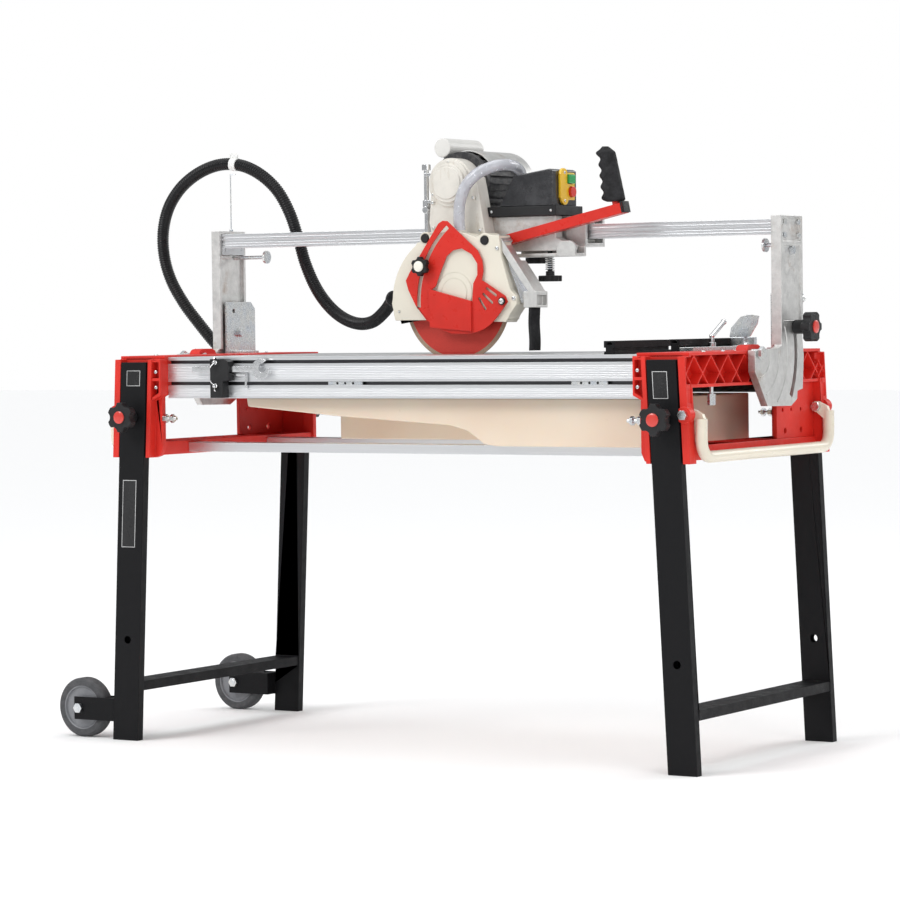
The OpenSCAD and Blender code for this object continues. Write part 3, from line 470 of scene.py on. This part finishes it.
def clear(name, colour=(0.86, 0.87, 0.92), through=0.55):
    """Clear PVC, milky with a trace of water film inside."""
    f = Finish(name, colour, 0.18, Transmission_Weight=through, IOR=1.4, Coat_Weight=0.5)
    f.paint(f.ramp(f.noise(45, 5, 0.7), 0.35, 0.7, shade(colour, 0.86), shade(colour, 1.08)))
    f.gloss(f.range(f.noise(90, 4), 0.3, 0.7, 0.12, 0.3))
    return f.bump(f.noise(60, 2), 0.00005)


def motor_paint(name):
    """Dark paint on cast fins, dusted grey in patches."""
    f = Finish(name, (0.035, 0.035, 0.04), 0.5, 0.2)
    dust = f.ramp(f.noise(60, 8, 0.8), 0.45, 0.75, (0.022, 0.022, 0.025), (0.13, 0.125, 0.12))
    f.paint(dust)
    f.gloss(f.range(f.noise(90, 5), 0.3, 0.7, 0.35, 0.65))
    return f.bump(f.noise(500, 5), 0.0003)


def blade_finish(name):
    """Painted steel core with a dotted skin, a bare hub, and a sintered diamond rim."""
    core = (0.62, 0.045, 0.03)
    f = Finish(name, core, 0.38, 0.3)
    centre = pivot("blade_spin")
    radius = f.distance(centre, (1, 0, 1))
    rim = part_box("blade")[1].z - centre.z
    grit = f.ramp(f.noise(900, 3), 0.3, 0.7, (0.34, 0.24, 0.17), (0.6, 0.46, 0.35))
    skin = f.ramp(f.cells(420), 0.1, 0.35, shade(core, 0.7), core)
    bare = f.ramp(f.noise(1, 3, 0.6, f.stretched(300, 1, 300)), 0.3, 0.7, (0.5, 0.5, 0.5), (0.75, 0.75, 0.75))
    painted = f.mix(f.range(radius, 0.0335, 0.034, 0, 1), bare, skin)
    f.paint(f.mix(f.range(radius, rim - 0.009, rim - 0.0085, 0, 1), painted, grit))
    f.gloss(f.range(radius, rim - 0.009, rim - 0.0085, 0.36, 0.85))
    f.bump(f.cells(420), 0.0001)
    return f.bump(f.noise(1100, 4), 0.00035)


def wheel_finish(name, joint):
    """Grey tyre round a darker moulded hub, split by distance from the axle."""
    f = Finish(name, (0.05, 0.05, 0.055), 0.6)
    radius = f.distance(pivot(joint), (1, 0, 1))
    tyre = f.ramp(f.noise(60, 7, 0.75), 0.35, 0.75, (0.045, 0.046, 0.05), (0.1, 0.1, 0.105))
    hub = f.ramp(f.noise(30, 5), 0.3, 0.7, (0.17, 0.175, 0.19), (0.26, 0.265, 0.28))
    core = (0.02, 0.02, 0.022)
    disc = f.mix(f.range(radius, 0.0145, 0.015, 0, 1), core, hub)
    f.paint(f.mix(f.range(radius, 0.0455, 0.046, 0, 1), disc, tyre))
    f.gloss(f.range(radius, 0.0455, 0.046, 0.38, 0.72))
    return f.bump(f.noise(900, 3), 0.00015)


def light_head(name):
    """Pale cast or painted aluminium of the belt casing: off-white with handling marks."""
    colour = (0.72, 0.69, 0.63)
    f = Finish(name, colour, 0.4, 0.1, Coat_Weight=0.15, Coat_Roughness=0.3)
    base = f.ramp(f.noise(18, 5), 0.3, 0.7, shade(colour, 0.9), shade(colour, 1.08))
    runs = f.ramp(f.noise(1, 6, 0.7, f.stretched(60, 30, 14)), 0.58, 0.74)
    f.paint(f.mix(runs, base, (0.56, 0.5, 0.42)))
    f.gloss(f.range(f.noise(70, 5), 0.3, 0.7, 0.3, 0.52))
    return f.bump(f.noise(380, 5), 0.00025)


RED = (0.66, 0.028, 0.018)
BLACK = (0.014, 0.014, 0.015)

FINISHES = {
    "extruded_aluminium": extruded("extruded_aluminium").material,
    "table_aluminium": worktop("table_aluminium").material,
    "red_casting": powder_coat("red_casting", RED, 0.4, 0.0, 0.00015).material,
    "red_sheet": powder_coat("red_sheet", RED, 0.3).material,
    "black_tube": textured_black("black_tube").material,
    "cast_aluminium": cast("cast_aluminium").material,
    "zinc_steel": zinc("zinc_steel").material,
    "chrome_steel": polished("chrome_steel").material,
    "cream_plastic": cream("cream_plastic", (0.77, 0.72, 0.60), 0.38, 0.1).material,
    "cream_paint": light_head("cream_paint").material,
    "black_plastic": moulded("black_plastic", BLACK).material,
    "black_rubber": rubber("black_rubber").material,
    "hose_black": moulded("hose_black", (0.006, 0.006, 0.007), 0.36, 0.00006).material,
    "clear_plastic": clear("clear_plastic").material,
    "smoked_plastic": smoked("smoked_plastic").material,
    "yellow_plastic": glossy("yellow_plastic", (0.9, 0.56, 0.02)).material,
    "green_plastic": glossy("green_plastic", (0.01, 0.36, 0.09)).material,
    "red_plastic": glossy("red_plastic", (0.72, 0.03, 0.02)).material,
    "black_motor": motor_paint("black_motor").material,
    "blade_red": blade_finish("blade_red").material,
    "nylon": moulded("nylon", (0.72, 0.72, 0.68), 0.4).material,
}
FINISHES["wheel_rubber"] = wheel_finish("wheel_rubber", "front_wheel_spin").material
SPECIAL = {
    "wheel_rear": wheel_finish("wheel_rubber_rear", "rear_wheel_spin").material,
    "water_tank": tank_plastic("tank_plastic").material,
    "side_rails": grooved_rail("rail_aluminium").material,
    "bail_left": cream("handle_cream", (0.78, 0.715, 0.59), 0.32, 0.08).material,
    "capacitor": cream("capacitor_white", (0.72, 0.71, 0.68), 0.38).material,
    "fixed_guard": cream("guard_cream", (0.75, 0.705, 0.60), 0.42).material,
}
SPECIAL["bail_right"] = SPECIAL["bail_left"]

# Rounding of each CAD node's edges, in millimetres
EDGES = {
    "side_rails": 0.4, "table_plates": 0.5, "end_castings": 1.0, "lower_rails": 0.8, "water_tank": 3.0,
    "pump": 2.0, "tilt_plates": 0.6, "tilt_pins": 0.5, "clamp_studs": 0.4, "tool_holder": 0.8,
    "spare_tools": 0.4, "frame_bolts": 0.5, "leg_frame_left": 1.2, "leg_frame_right": 1.2,
    "axle_bolts": 0.5, "wheel_front": 0.8, "wheel_rear": 0.8, "uprights": 1.0, "bridge_bar": 0.6,
    "gantry_hardware": 0.4, "carriage_body": 1.2, "glides": 0.3, "lock_knob": 1.5, "depth_screw": 1.2,
    "head_frame": 1.5, "belt_casing": 1.5, "motor_housing": 0.6, "fan_cover": 0.8, "capacitor": 2.5,
    "fixed_guard": 1.5, "splash_arm": 1.5, "switch_box": 2.0, "switch_base": 1.5, "switch_plate": 1.2,
    "handle_arm": 0.8, "water_tap": 0.6, "guard_screws": 1.0, "moving_guard": 0.7, "drive_belt": 0.5,
    "arbor": 0.5, "blade": 0.3, "green_button": 1.0, "red_button": 1.0, "rule_bars": 0.6,
    "rule_bracket": 0.6, "rule_lever": 0.3, "motor_rotor": 0.5, "bail_left": 0.0, "bail_right": 0.0,
}
KNOBS = (
    "knob_front_left", "knob_front_right", "knob_rear_left", "knob_rear_right", "tilt_knob", "guard_knob",
)


def dress_cad_nodes():
    for name, node in NODES.items():
        node.data.materials.clear()
        node.data.materials.append(SPECIAL.get(name, FINISHES[SLOT_OF[name]]))
        node.data.shade_smooth()
        width = 1.6 if name in KNOBS else EDGES.get(name, 0.0)
        if width:
            soften(node, width * MM)


# ---------- hoses ----------

HOSE = [
    (-671, 198, 766), (-723, 199, 788), (-767, 195, 824), (-806, 189, 868), (-842, 181, 915),
    (-870, 173, 967), (-882, 165, 1022), (-877, 157, 1078), (-855, 150, 1129), (-815, 143, 1171),
    (-762, 137, 1201), (-704, 132, 1216), (-647, 130, 1213), (-596, 130, 1192), (-555, 135, 1156),
    (-528, 142, 1107), (-513, 152, 1051), (-497, 157, 993), (-469, 155, 941), (-428, 144, 901),
    (-379, 127, 875), (-326, 105, 864), (-275, 79, 869), (-228, 49, 889), (-187, 13, 910),
    (-153, -33, 917),
]
CLEAR = [
    (12, -36, 1053), (11, -37, 1080), (14, -37, 1112), (28, -36, 1144), (52, -30, 1168),
    (78, -12, 1182), (90, 14, 1186), (92, 50, 1184), (84, 90, 1172), (69, 110, 1150),
    (59, 108, 1124), (57, 108, 1101),
]
HOSE_RADIUS = 13.5 * MM
CLEAR_RADIUS = 12 * MM


def main_hose():
    """Corrugated hose: the radius rises and falls along it, four rings to a rib."""
    pitch = 5.2 * MM
    line = smooth_line([at(*p) for p in HOSE], pitch / 4)
    wave = (1.0, 0.985, 0.87, 0.885)
    radii = [HOSE_RADIUS * wave[i % 4] for i in range(len(line))]
    hose = Shape().tube(line, radii, 18).build(
        "hose_bellows", "gantry", FINISHES["hose_black"], "hose_black", smooth=80)
    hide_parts("main_hose")
    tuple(line[0])
    length_of(line)


def clear_hose():
    """Clear hose with a real wall: an outer and an inner skin closed at both ends."""
    line = smooth_line([at(*p) for p in CLEAR], 3 * MM)
    wall_thick = 2.5 * MM
    outer = list(frames_along(line, [CLEAR_RADIUS] * len(line)))
    sides = 20
    angles = [2 * math.pi * k / sides for k in range(sides)]
    skins = []
    for wall, order in ((0.0, outer), (wall_thick, outer[::-1])):
        for p, side, other, radius in order:
            skins.append([p + (side * math.cos(a) + other * math.sin(a)) * (radius - wall) for a in angles])
    hose = Shape().rings(skins, closed=True).build(
        "clear_hose_wall", "head", FINISHES["clear_plastic"], "clear_plastic")
    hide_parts("clear_hose")
    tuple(line[0])
    length_of(line)


def hose_trim():
    """Collar and nozzle where the hose meets the guard, ring at its foot, and the cloth tie."""
    ends = smooth_line([at(*p) for p in HOSE], 4 * MM)
    into_guard = (ends[-1] - ends[-4]).normalized()
    collar = Shape()
    collar.lathe(ends[-1] - into_guard * 0.030, into_guard, [
        (0.0141, 0), (0.0156, 0.001), (0.0156, 0.007), (0.0149, 0.008), (0.0149, 0.020), (0.0156, 0.021),
        (0.0156, 0.028), (0.0138, 0.029)])
    collar.build("hose_collar", "head", FINISHES["black_plastic"], "black_plastic", 0.0006)
    out_of_bench = (ends[3] - ends[0]).normalized()
    foot = Shape()
    foot.lathe(ends[0], out_of_bench, [(0.0142, 0.002), (0.019, 0.002), (0.019, 0.008), (0.0155, 0.012),
                                       (0.0155, 0.022), (0.0142, 0.024)])
    foot.build("hose_foot", "bench", FINISHES["black_plastic"], "black_plastic", 0.0006)
    tie_at = min(range(len(ends)), key=lambda i: abs(ends[i].x - at(-664, 0, 0).x) - ends[i].z)
    along = (ends[tie_at + 1] - ends[tie_at - 1]).normalized()
    cloth = cream("cloth_white", (0.85, 0.85, 0.83), 0.8).material
    tie = Shape()
    for k in (-1, 0, 1):
        start = ends[tie_at] + along * (0.0052 * k - 0.0028)
        tie.lathe(start, along, [
            (0.0140, 0), (0.0150, 0.0012), (0.0152, 0.0030), (0.0146, 0.0048), (0.0140, 0.0056)], 28)
    knot = ends[tie_at] + Vector((0, -0.003, 0.0155))
    tie.tube([knot + Vector((0.010 * math.sin(t), 0, 0.006 * math.cos(t) + 0.003)) for t in
              [2 * math.pi * k / 14 for k in range(14)]], [0.0019] * 14, 8, closed=True)
    for lean in (-0.5, 0.35):
        tail = [
            knot + Vector((lean * 0.016 * t, -0.004 * t, 0.004 - 0.020 * t * t)) for t in (0, 0.4, 0.8, 1.2)]
        tie.tube(tail, [0.0024, 0.0026, 0.0024, 0.0018], 8)
    tie.build("hose_tie", "gantry", cloth, None, smooth=70)


# ---------- small pieces ----------


def screw(shape, centre, axis, radius):
    """A button-head screw with a six-sided socket, standing proud along its axis."""
    axis = Vector(axis)
    side = axis.orthogonal().normalized()
    other = axis.cross(side)
    segments = 24

    def ring(r, along, hexagon=False):
        points = []
        for k in range(segments):
            angle = 2 * math.pi * k / segments
            reach = r
            if hexagon:
                reach = r * math.cos(math.pi / 6) / math.cos((angle % (math.pi / 3)) - math.pi / 6)
            points.append(centre + axis * along + (side * math.cos(angle) + other * math.sin(angle)) * reach)
        return points

    shape.rings([
        ring(radius, -0.2 * radius), ring(radius, 0.12 * radius), ring(0.9 * radius, 0.36 * radius),
        ring(0.68 * radius, 0.52 * radius), ring(0.5 * radius, 0.56 * radius, True),
        ring(0.46 * radius, 0.1 * radius, True),
    ])


def screws():
    """Small screws of the head and the bench, one piece for each body."""
    towards = Vector((0, -1, 0))
    right = Vector((1, 0, 0))
    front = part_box("belt_casing")[0].y
    shaft = pivot("rotor_spin")
    head = Shape()
    for x, z in ((-67, 1112), (-66, 1060), (46, 1052), (30, 1120), (-26, 1193)):
        screw(head, at(x, -13, z), towards, 0.0034)
    for k in range(3):
        turn = math.radians(90 + 120 * k)
        spot = Vector((shaft.x + 0.044 * math.cos(turn), front + 0.010, shaft.z + 0.044 * math.sin(turn)))
        screw(head, spot, towards, 0.0026)
    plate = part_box("switch_plate")
    for z in (plate[0].z + 0.009, plate[1].z - 0.009):
        screw(head, Vector((plate[1].x, 0.060, z)), right, 0.0032)
    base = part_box("switch_base")
    for x in (base[0].x + 0.012, base[1].x - 0.012):
        screw(head, Vector((x, base[0].y, (base[0].z + 0.010))), towards, 0.0028)
    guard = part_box("fixed_guard")
    hinge = pivot("guard_swing")
    screw(head, Vector((hinge.x + 0.022, guard[0].y + 0.0030, hinge.z + 0.006)), towards, 0.005)
    screw(head, at(-125, -56, 888), towards, 0.0022)
    screw(head, Vector((hinge.x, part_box("guard_screws")[0].y + 0.009, hinge.z)), towards, 0.0062)
    screw(head, at(112, -57, 1014), towards, 0.0042)
    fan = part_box("fan_cover")
    for k in range(4):
        turn = math.radians(45 + 90 * k)
        spot = Vector((shaft.x + 0.060 * math.cos(turn), fan[1].y, shaft.z + 0.060 * math.sin(turn)))
        screw(head, spot, -towards, 0.0030)
    head.build("screws_head", "head", FINISHES["zinc_steel"], "zinc_steel")

    bench = Shape()
    for side in (-1, 1):
        for depth in (-190, -108, 108, 222):
            screw(bench, at(side * 648, depth, 803), (0, 0, 1), 0.0042)
        for depth in (-1, 1):
            screw(bench, at(side * 566, depth * 305, 770), (0, depth, 0), 0.0038)
            screw(bench, at(side * 566, depth * 305, 738), (0, depth, 0), 0.0038)
    bench.build("screws_bench", "bench", FINISHES["zinc_steel"], "zinc_steel")


def knob_cap(name, body, joint, node, radius, material):
    """A domed cap pressed over the middle of a star knob."""
    axis = Vector(JOINTS[joint]["axis"])
    low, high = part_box(node)
    middle = pivot(joint)
    face = max((low - middle).dot(axis), (high - middle).dot(axis))
    cap = Shape()
    cap.lathe(middle + axis * (face - 0.0028), axis, [
        (radius + 0.0004, 0), (radius + 0.0004, 0.0024), (radius - 0.0006, 0.0031),
        (radius * 0.6, 0.0035), (radius * 0.2, 0.0036)], 36)
    cap.build(name, body, material, None, smooth=50)


def knob_caps():
    red = glossy("cap_red", (0.62, 0.035, 0.022), 0.3).material
    for place in ("front_left", "front_right", "rear_left", "rear_right"):
        knob_cap(f"cap_{place}", f"clamp_{place}", f"clamp_{place}_turn", f"knob_{place}", 0.0124, red)
    knob_cap("cap_tilt", "tilt_clamp", "tilt_clamp_turn", "tilt_knob", 0.0124, red)
    pale = cream("cap_pale", (0.86, 0.83, 0.74), 0.35).material
    knob_cap("cap_guard", "guard_clamp", "guard_clamp_turn", "guard_knob", 0.0105, pale)


def depth_spring():
    """The coil that the CAD sleeve stands for."""
    low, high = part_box("depth_spring")
    centre = (low + high) / 2
    wire = 0.0010
    radius = (high.x - low.x) / 2 - wire
    turns, steps = 6, 20
    count = turns * steps
    height = high.z - low.z - 2 * wire
    line = []
    for k in range(count + 1):
        angle = 2 * math.pi * k / steps
        rise = low.z + wire + height * k / count
        line.append(Vector((centre.x + radius * math.cos(angle), centre.y + radius * math.sin(angle), rise)))
    coil = Shape().tube(line, [wire] * len(line), 10).build(
        "spring_coil", "carriage", FINISHES["zinc_steel"], "zinc_steel", smooth=80)
    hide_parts("depth_spring")


def hand_grip():
    """Moulded grip: a leaning oval column with finger hollows on the left and a flared lip on top."""
    low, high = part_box("grip")
    rows, around = 45, 32
    rings = []
    height = high.z - low.z
    for i in range(rows):
        t = i / (rows - 1)
        right = high.x - 0.005 - 0.026 * t
        waves = 0.0030 * math.cos(2 * math.pi * (t * 5.0 + 0.15))
        left = low.x + 0.016 - 0.010 * t + waves
        if t > 0.8:
            left -= 0.006 * math.sin((t - 0.8) / 0.2 * math.pi / 2)
        ends = min(1.0, 0.72 + 9 * t, 0.35 + 6.5 * (1 - t))
        half_x = (right - left) / 2 * ends
        half_y = (high.y - low.y) / 2 * 0.94 * ends
        middle = Vector(((left + right) / 2, (low.y + high.y) / 2, low.z + height * t))
        ring = []
        for k in range(around):
            a = 2 * math.pi * k / around
            c, s = math.cos(a), math.sin(a)
            ring.append(middle + Vector((
                math.copysign(abs(c) ** 0.85, c) * half_x, math.copysign(abs(s) ** 0.85, s) * half_y, 0)))
        rings.append(ring)
    grip = Shape().rings(rings).build(
        "hand_grip", "head", FINISHES["black_rubber"], "black_rubber", smooth=70)
    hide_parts("grip")


def splash_flap():
    """Rubber strip with moulded ribs down its faces."""
    low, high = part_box("splash_flap")
    ribs, columns, rows = 9, 72, 14
    sheet = Shape()
    rings = []
    for i in range(rows + 1):
        t = i / rows
        z = high.z + (low.z - high.z) * t
        sway = 0.0008 * math.sin(3 * math.pi * t)
        ring = []
        for face in (0, 1):
            for k in range(columns + 1):
                share = k / columns if face == 0 else 1 - k / columns
                y = low.y + (high.y - low.y) * share
                rib = 0.0011 * (0.5 + 0.5 * math.cos(2 * math.pi * ribs * share))
                x = high.x - rib - 0.001 if face == 0 else low.x + rib + 0.001
                ring.append(Vector((x + sway, y, z)))
        rings.append(ring)
    flap = sheet.rings(rings).build(
        "flap_rubber", "head", FINISHES["black_rubber"], "black_rubber", smooth=50)
    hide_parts("splash_flap")


def splash_plate():
    """Clear plate between the blade guard and the splash arm."""
    outline = [
        (128, 1004), (142, 992), (176, 938), (186, 924), (178, 904), (162, 903), (152, 934), (134, 976)]
    plate = Shape().prism([at(x, -47, z) for x, z in outline], (0, 0.0022, 0))
    glass = clear("plate_clear", (0.88, 0.9, 0.95), 0.75).material
    plate.build("splash_plate", "head", glass, "clear_plastic", 0.0004)


def arm_end_cap():
    """Ribbed plastic plug in the open end of the handle arm."""
    low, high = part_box("handle_arm")
    end = high.x
    along = Vector((0.978, 0, 0.21))
    up = Vector((-0.21, 0, 0.978))
    corner = Vector((end - 0.0036, low.y, 0)) + Vector((0, 0, at(0, 0, 1081.2).z))
    plug = Shape()
    for start, grow, long in ((0.0, 0.0008, 0.0035), (0.0035, -0.0006, 0.0018), (0.0053, 0.0008, 0.0022)):
        foot = corner + along * start - up * grow - Vector((0, grow, 0))
        rise = up * (0.0213 + 2 * grow)
        outline = [foot, foot + along * long, foot + along * long + rise, foot + rise]
        plug.prism(outline, (0, 0.025 + 2 * grow, 0))
    plug.build("arm_plug", "head", FINISHES["black_plastic"], "black_plastic", 0.0005)


def rail_strips():
    """Spare nuts on a zinc strip in the front rail's lower groove, three to a strip."""
    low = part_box("side_rails")[0]
    groove_z = at(0, 0, 745.5).z
    strips = Shape()
    holes = Shape()
    for x0, x1 in ((-158, -76), (405, 485)):
        start, end = at(x0, 0, 0).x, at(x1, 0, 0).x
        strips.block((start, low.y + 0.0012, groove_z - 0.0031), (end, low.y + 0.0042, groove_z + 0.0031))
        for k in range(3):
            spot = Vector((start + (end - start) * (0.27 + 0.23 * k), low.y + 0.0012, groove_z))
            holes.lathe(spot, (0, -1, 0), [
                (0.0026, -0.001), (0.0026, 0.0003), (0.0016, 0.0006), (0.0014, 0.0001)], 20)
    strips.build("rail_strips", "bench", FINISHES["zinc_steel"], "zinc_steel", 0.0003)
    holes.build("rail_grub_screws", "bench", FINISHES["black_plastic"], "black_plastic")


def sector_ridges():
    """Raised arcs about the tilt axis on the outer faces of both uprights."""
    axis = pivot("gantry_tilt")
    low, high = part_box("uprights")
    ridges = Shape()
    for side, face in ((-1, low.x), (1, high.x)):
        for radius, start, stop in ((0.048, -88, 2), (0.088, -70, 1), (0.125, -51, 24)):
            steps = max(8, round((stop - start) / 3))
            rings = []
            for k in range(steps + 1):
                turn = math.radians(start + (stop - start) * k / steps)
                out = Vector((0, math.cos(turn), math.sin(turn)))
                spot = Vector((face, axis.y, axis.z)) + out * radius
                lift = Vector((side * 0.0013, 0, 0))
                root = Vector((side * -0.0004, 0, 0))
                rings.append([spot - out * 0.0022 + root, spot - out * 0.0008 + lift,
                              spot + out * 0.0008 + lift, spot + out * 0.0022 + root])
            ridges.rings(rings)
    ridges.build("sector_ridges", "gantry", FINISHES["cast_aluminium"], "cast_aluminium", smooth=60)


def wing_screws():
    """Two wing screws that clamp the tool holder to the rail."""
    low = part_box("tool_holder")[0]
    shape = Shape()
    for z, turn in ((789, 62), (741, 118)):
        spot = at(-418, 0, z)
        spot.y = low.y
        shape.lathe(spot, (0, -1, 0), [
            (0.0052, 0), (0.0052, 0.004), (0.0038, 0.0055), (0.0034, 0.009), (0.002, 0.0098)], 24)
        reach = Vector((math.cos(math.radians(turn)), 0, math.sin(math.radians(turn))))
        thick = reach.cross(Vector((0, 1, 0))) * 0.0011
        for way in (-1, 1):
            outline = [
                (0.002, 0.001), (0.008, 0.003), (0.0125, 0.008), (0.0125, 0.012), (0.009, 0.0135),
                (0.005, 0.010), (0.002, 0.0075)]
            points = [spot + reach * (way * a) + Vector((0, -b, 0)) - thick for a, b in outline]
            shape.prism(points, thick * 2)
    shape.build("wing_screws", "bench", FINISHES["chrome_steel"], "chrome_steel", 0.0004)


def blank_labels():
    """Plain bordered plates where a maker fixes labels, with nothing printed on them."""
    pale = moulded("label_border", (0.55, 0.55, 0.55), 0.4, 0.00004).material
    dark = moulded("label_field", (0.02, 0.02, 0.021), 0.3, 0.00004).material
    slope = 38 / 800
    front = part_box("leg_frame_left")[0].y
    for side, body, spots in (
            (-1, "legs_left", ((620, 757, 34, 32), (637, 475, 34, 140))),
            (1, "legs_right", ((617, 742, 32, 52),))):
        for index, (x, z, wide, tall) in enumerate(spots):
            middle = at(side * x, 0, z)
            middle.y = front
            right = Vector((1, 0, 0)) * wide * MM / 2
            up = Vector((-side * slope, 0, 1)) * tall * MM / 2
            name = ("left", "right")[side > 0] + str(index)
            border = Shape()
            inner_right, inner_up = right - Vector((0.0011, 0, 0)), up * (1 - 0.0022 / (tall * MM))
            outer = [middle + right * a + up * b for a, b in ((-1, -1), (1, -1), (1, 1), (-1, 1))]
            inner = [middle + inner_right * a + inner_up * b for a, b in ((-1, -1), (1, -1), (1, 1), (-1, 1))]
            lift = Vector((0, -0.00035, 0))
            border.rings([outer, [p + lift for p in outer], [p + lift for p in inner], inner], closed=True)
            border.build(f"label_border_{name}", body, pale)
            Shape().prism([p for p in inner], (0, -0.0002, 0)).build(f"label_field_{name}", body, dark)


# ---------- studio ----------


def area_light(name, place, target, size, power, colour=(1, 1, 1)):
    data = bpy.data.lights.new(name, "AREA")
    data.shape = "RECTANGLE"
    data.size, data.size_y = size
    data.energy = power
    data.color = colour
    light = bpy.data.objects.new(name, data)
    bpy.context.scene.collection.objects.link(light)
    light.location = place
    light.rotation_euler = (Vector(target) - Vector(place)).to_track_quat("-Z", "Y").to_euler()


def soft_sun(name, place, strength, spread):
    """Sun lamp that shines from place towards the origin, with its spread in degrees."""
    lamp = bpy.data.lights.new(name, "SUN")
    lamp.energy = strength
    lamp.angle = math.radians(spread)
    holder = bpy.data.objects.new(name, lamp)
    holder.location = place
    holder.rotation_euler = (-Vector(place)).to_track_quat("-Z", "Y").to_euler()
    bpy.context.scene.collection.objects.link(holder)


def studio():
    world = bpy.data.worlds.new("studio")
    bpy.context.scene.world = world
    world.use_nodes = True
    tree = world.node_tree
    seen = tree.nodes["Background"]
    seen.inputs["Color"].default_value = (1, 1, 1, 1)
    seen.inputs["Strength"].default_value = 1.0
    ambient = tree.nodes.new("ShaderNodeBackground")
    ambient.inputs["Color"].default_value = (0.96, 0.98, 1, 1)
    ambient.inputs["Strength"].default_value = 0.42
    rays = tree.nodes.new("ShaderNodeLightPath")
    choice = tree.nodes.new("ShaderNodeMixShader")
    tree.links.new(rays.outputs["Is Camera Ray"], choice.inputs[0])
    tree.links.new(ambient.outputs[0], choice.inputs[1])
    tree.links.new(seen.outputs[0], choice.inputs[2])
    tree.links.new(choice.outputs[0], tree.nodes["World Output"].inputs["Surface"])
    bpy.context.scene.view_settings.view_transform = "Standard"
    soft_sun("overhead", (0.25, 0.5, 6), 1.45, 70)
    soft_sun("front_left", (-2.6, -4.6, 5.2), 0.7, 40)
    area_light("key", (-2.6, -4.6, 4.0), (0, 0, 0.8), (2.6, 2.0), 95)
    area_light("fill", (4.8, -2.6, 2.4), (0, 0, 0.8), (2.4, 2.4), 60)
    area_light("rim", (2.4, 4.2, 2.8), (0, 0, 0.9), (2.2, 1.6), 40)
    floor = Shape().block((-30, -30, -0.02), (30, 30, 0))
    mesh = bpy.data.meshes.new("floor")
    mesh.from_pydata(floor.verts, [], floor.faces)
    stage = bpy.data.objects.new("floor", mesh)
    bpy.context.scene.collection.objects.link(stage)
    paper = Finish("paper", (0.97, 0.97, 0.97), 0.85)
    paper.gloss(paper.range(paper.noise(3, 3), 0.3, 0.7, 0.8, 0.9))
    mesh.materials.append(paper.material)


make_camera()
main_hose()
clear_hose()
dress_cad_nodes()
hose_trim()
screws()
knob_caps()
depth_spring()
hand_grip()
splash_flap()
splash_plate()
arm_end_cap()
rail_strips()
sector_ridges()
wing_screws()
blank_labels()
studio()
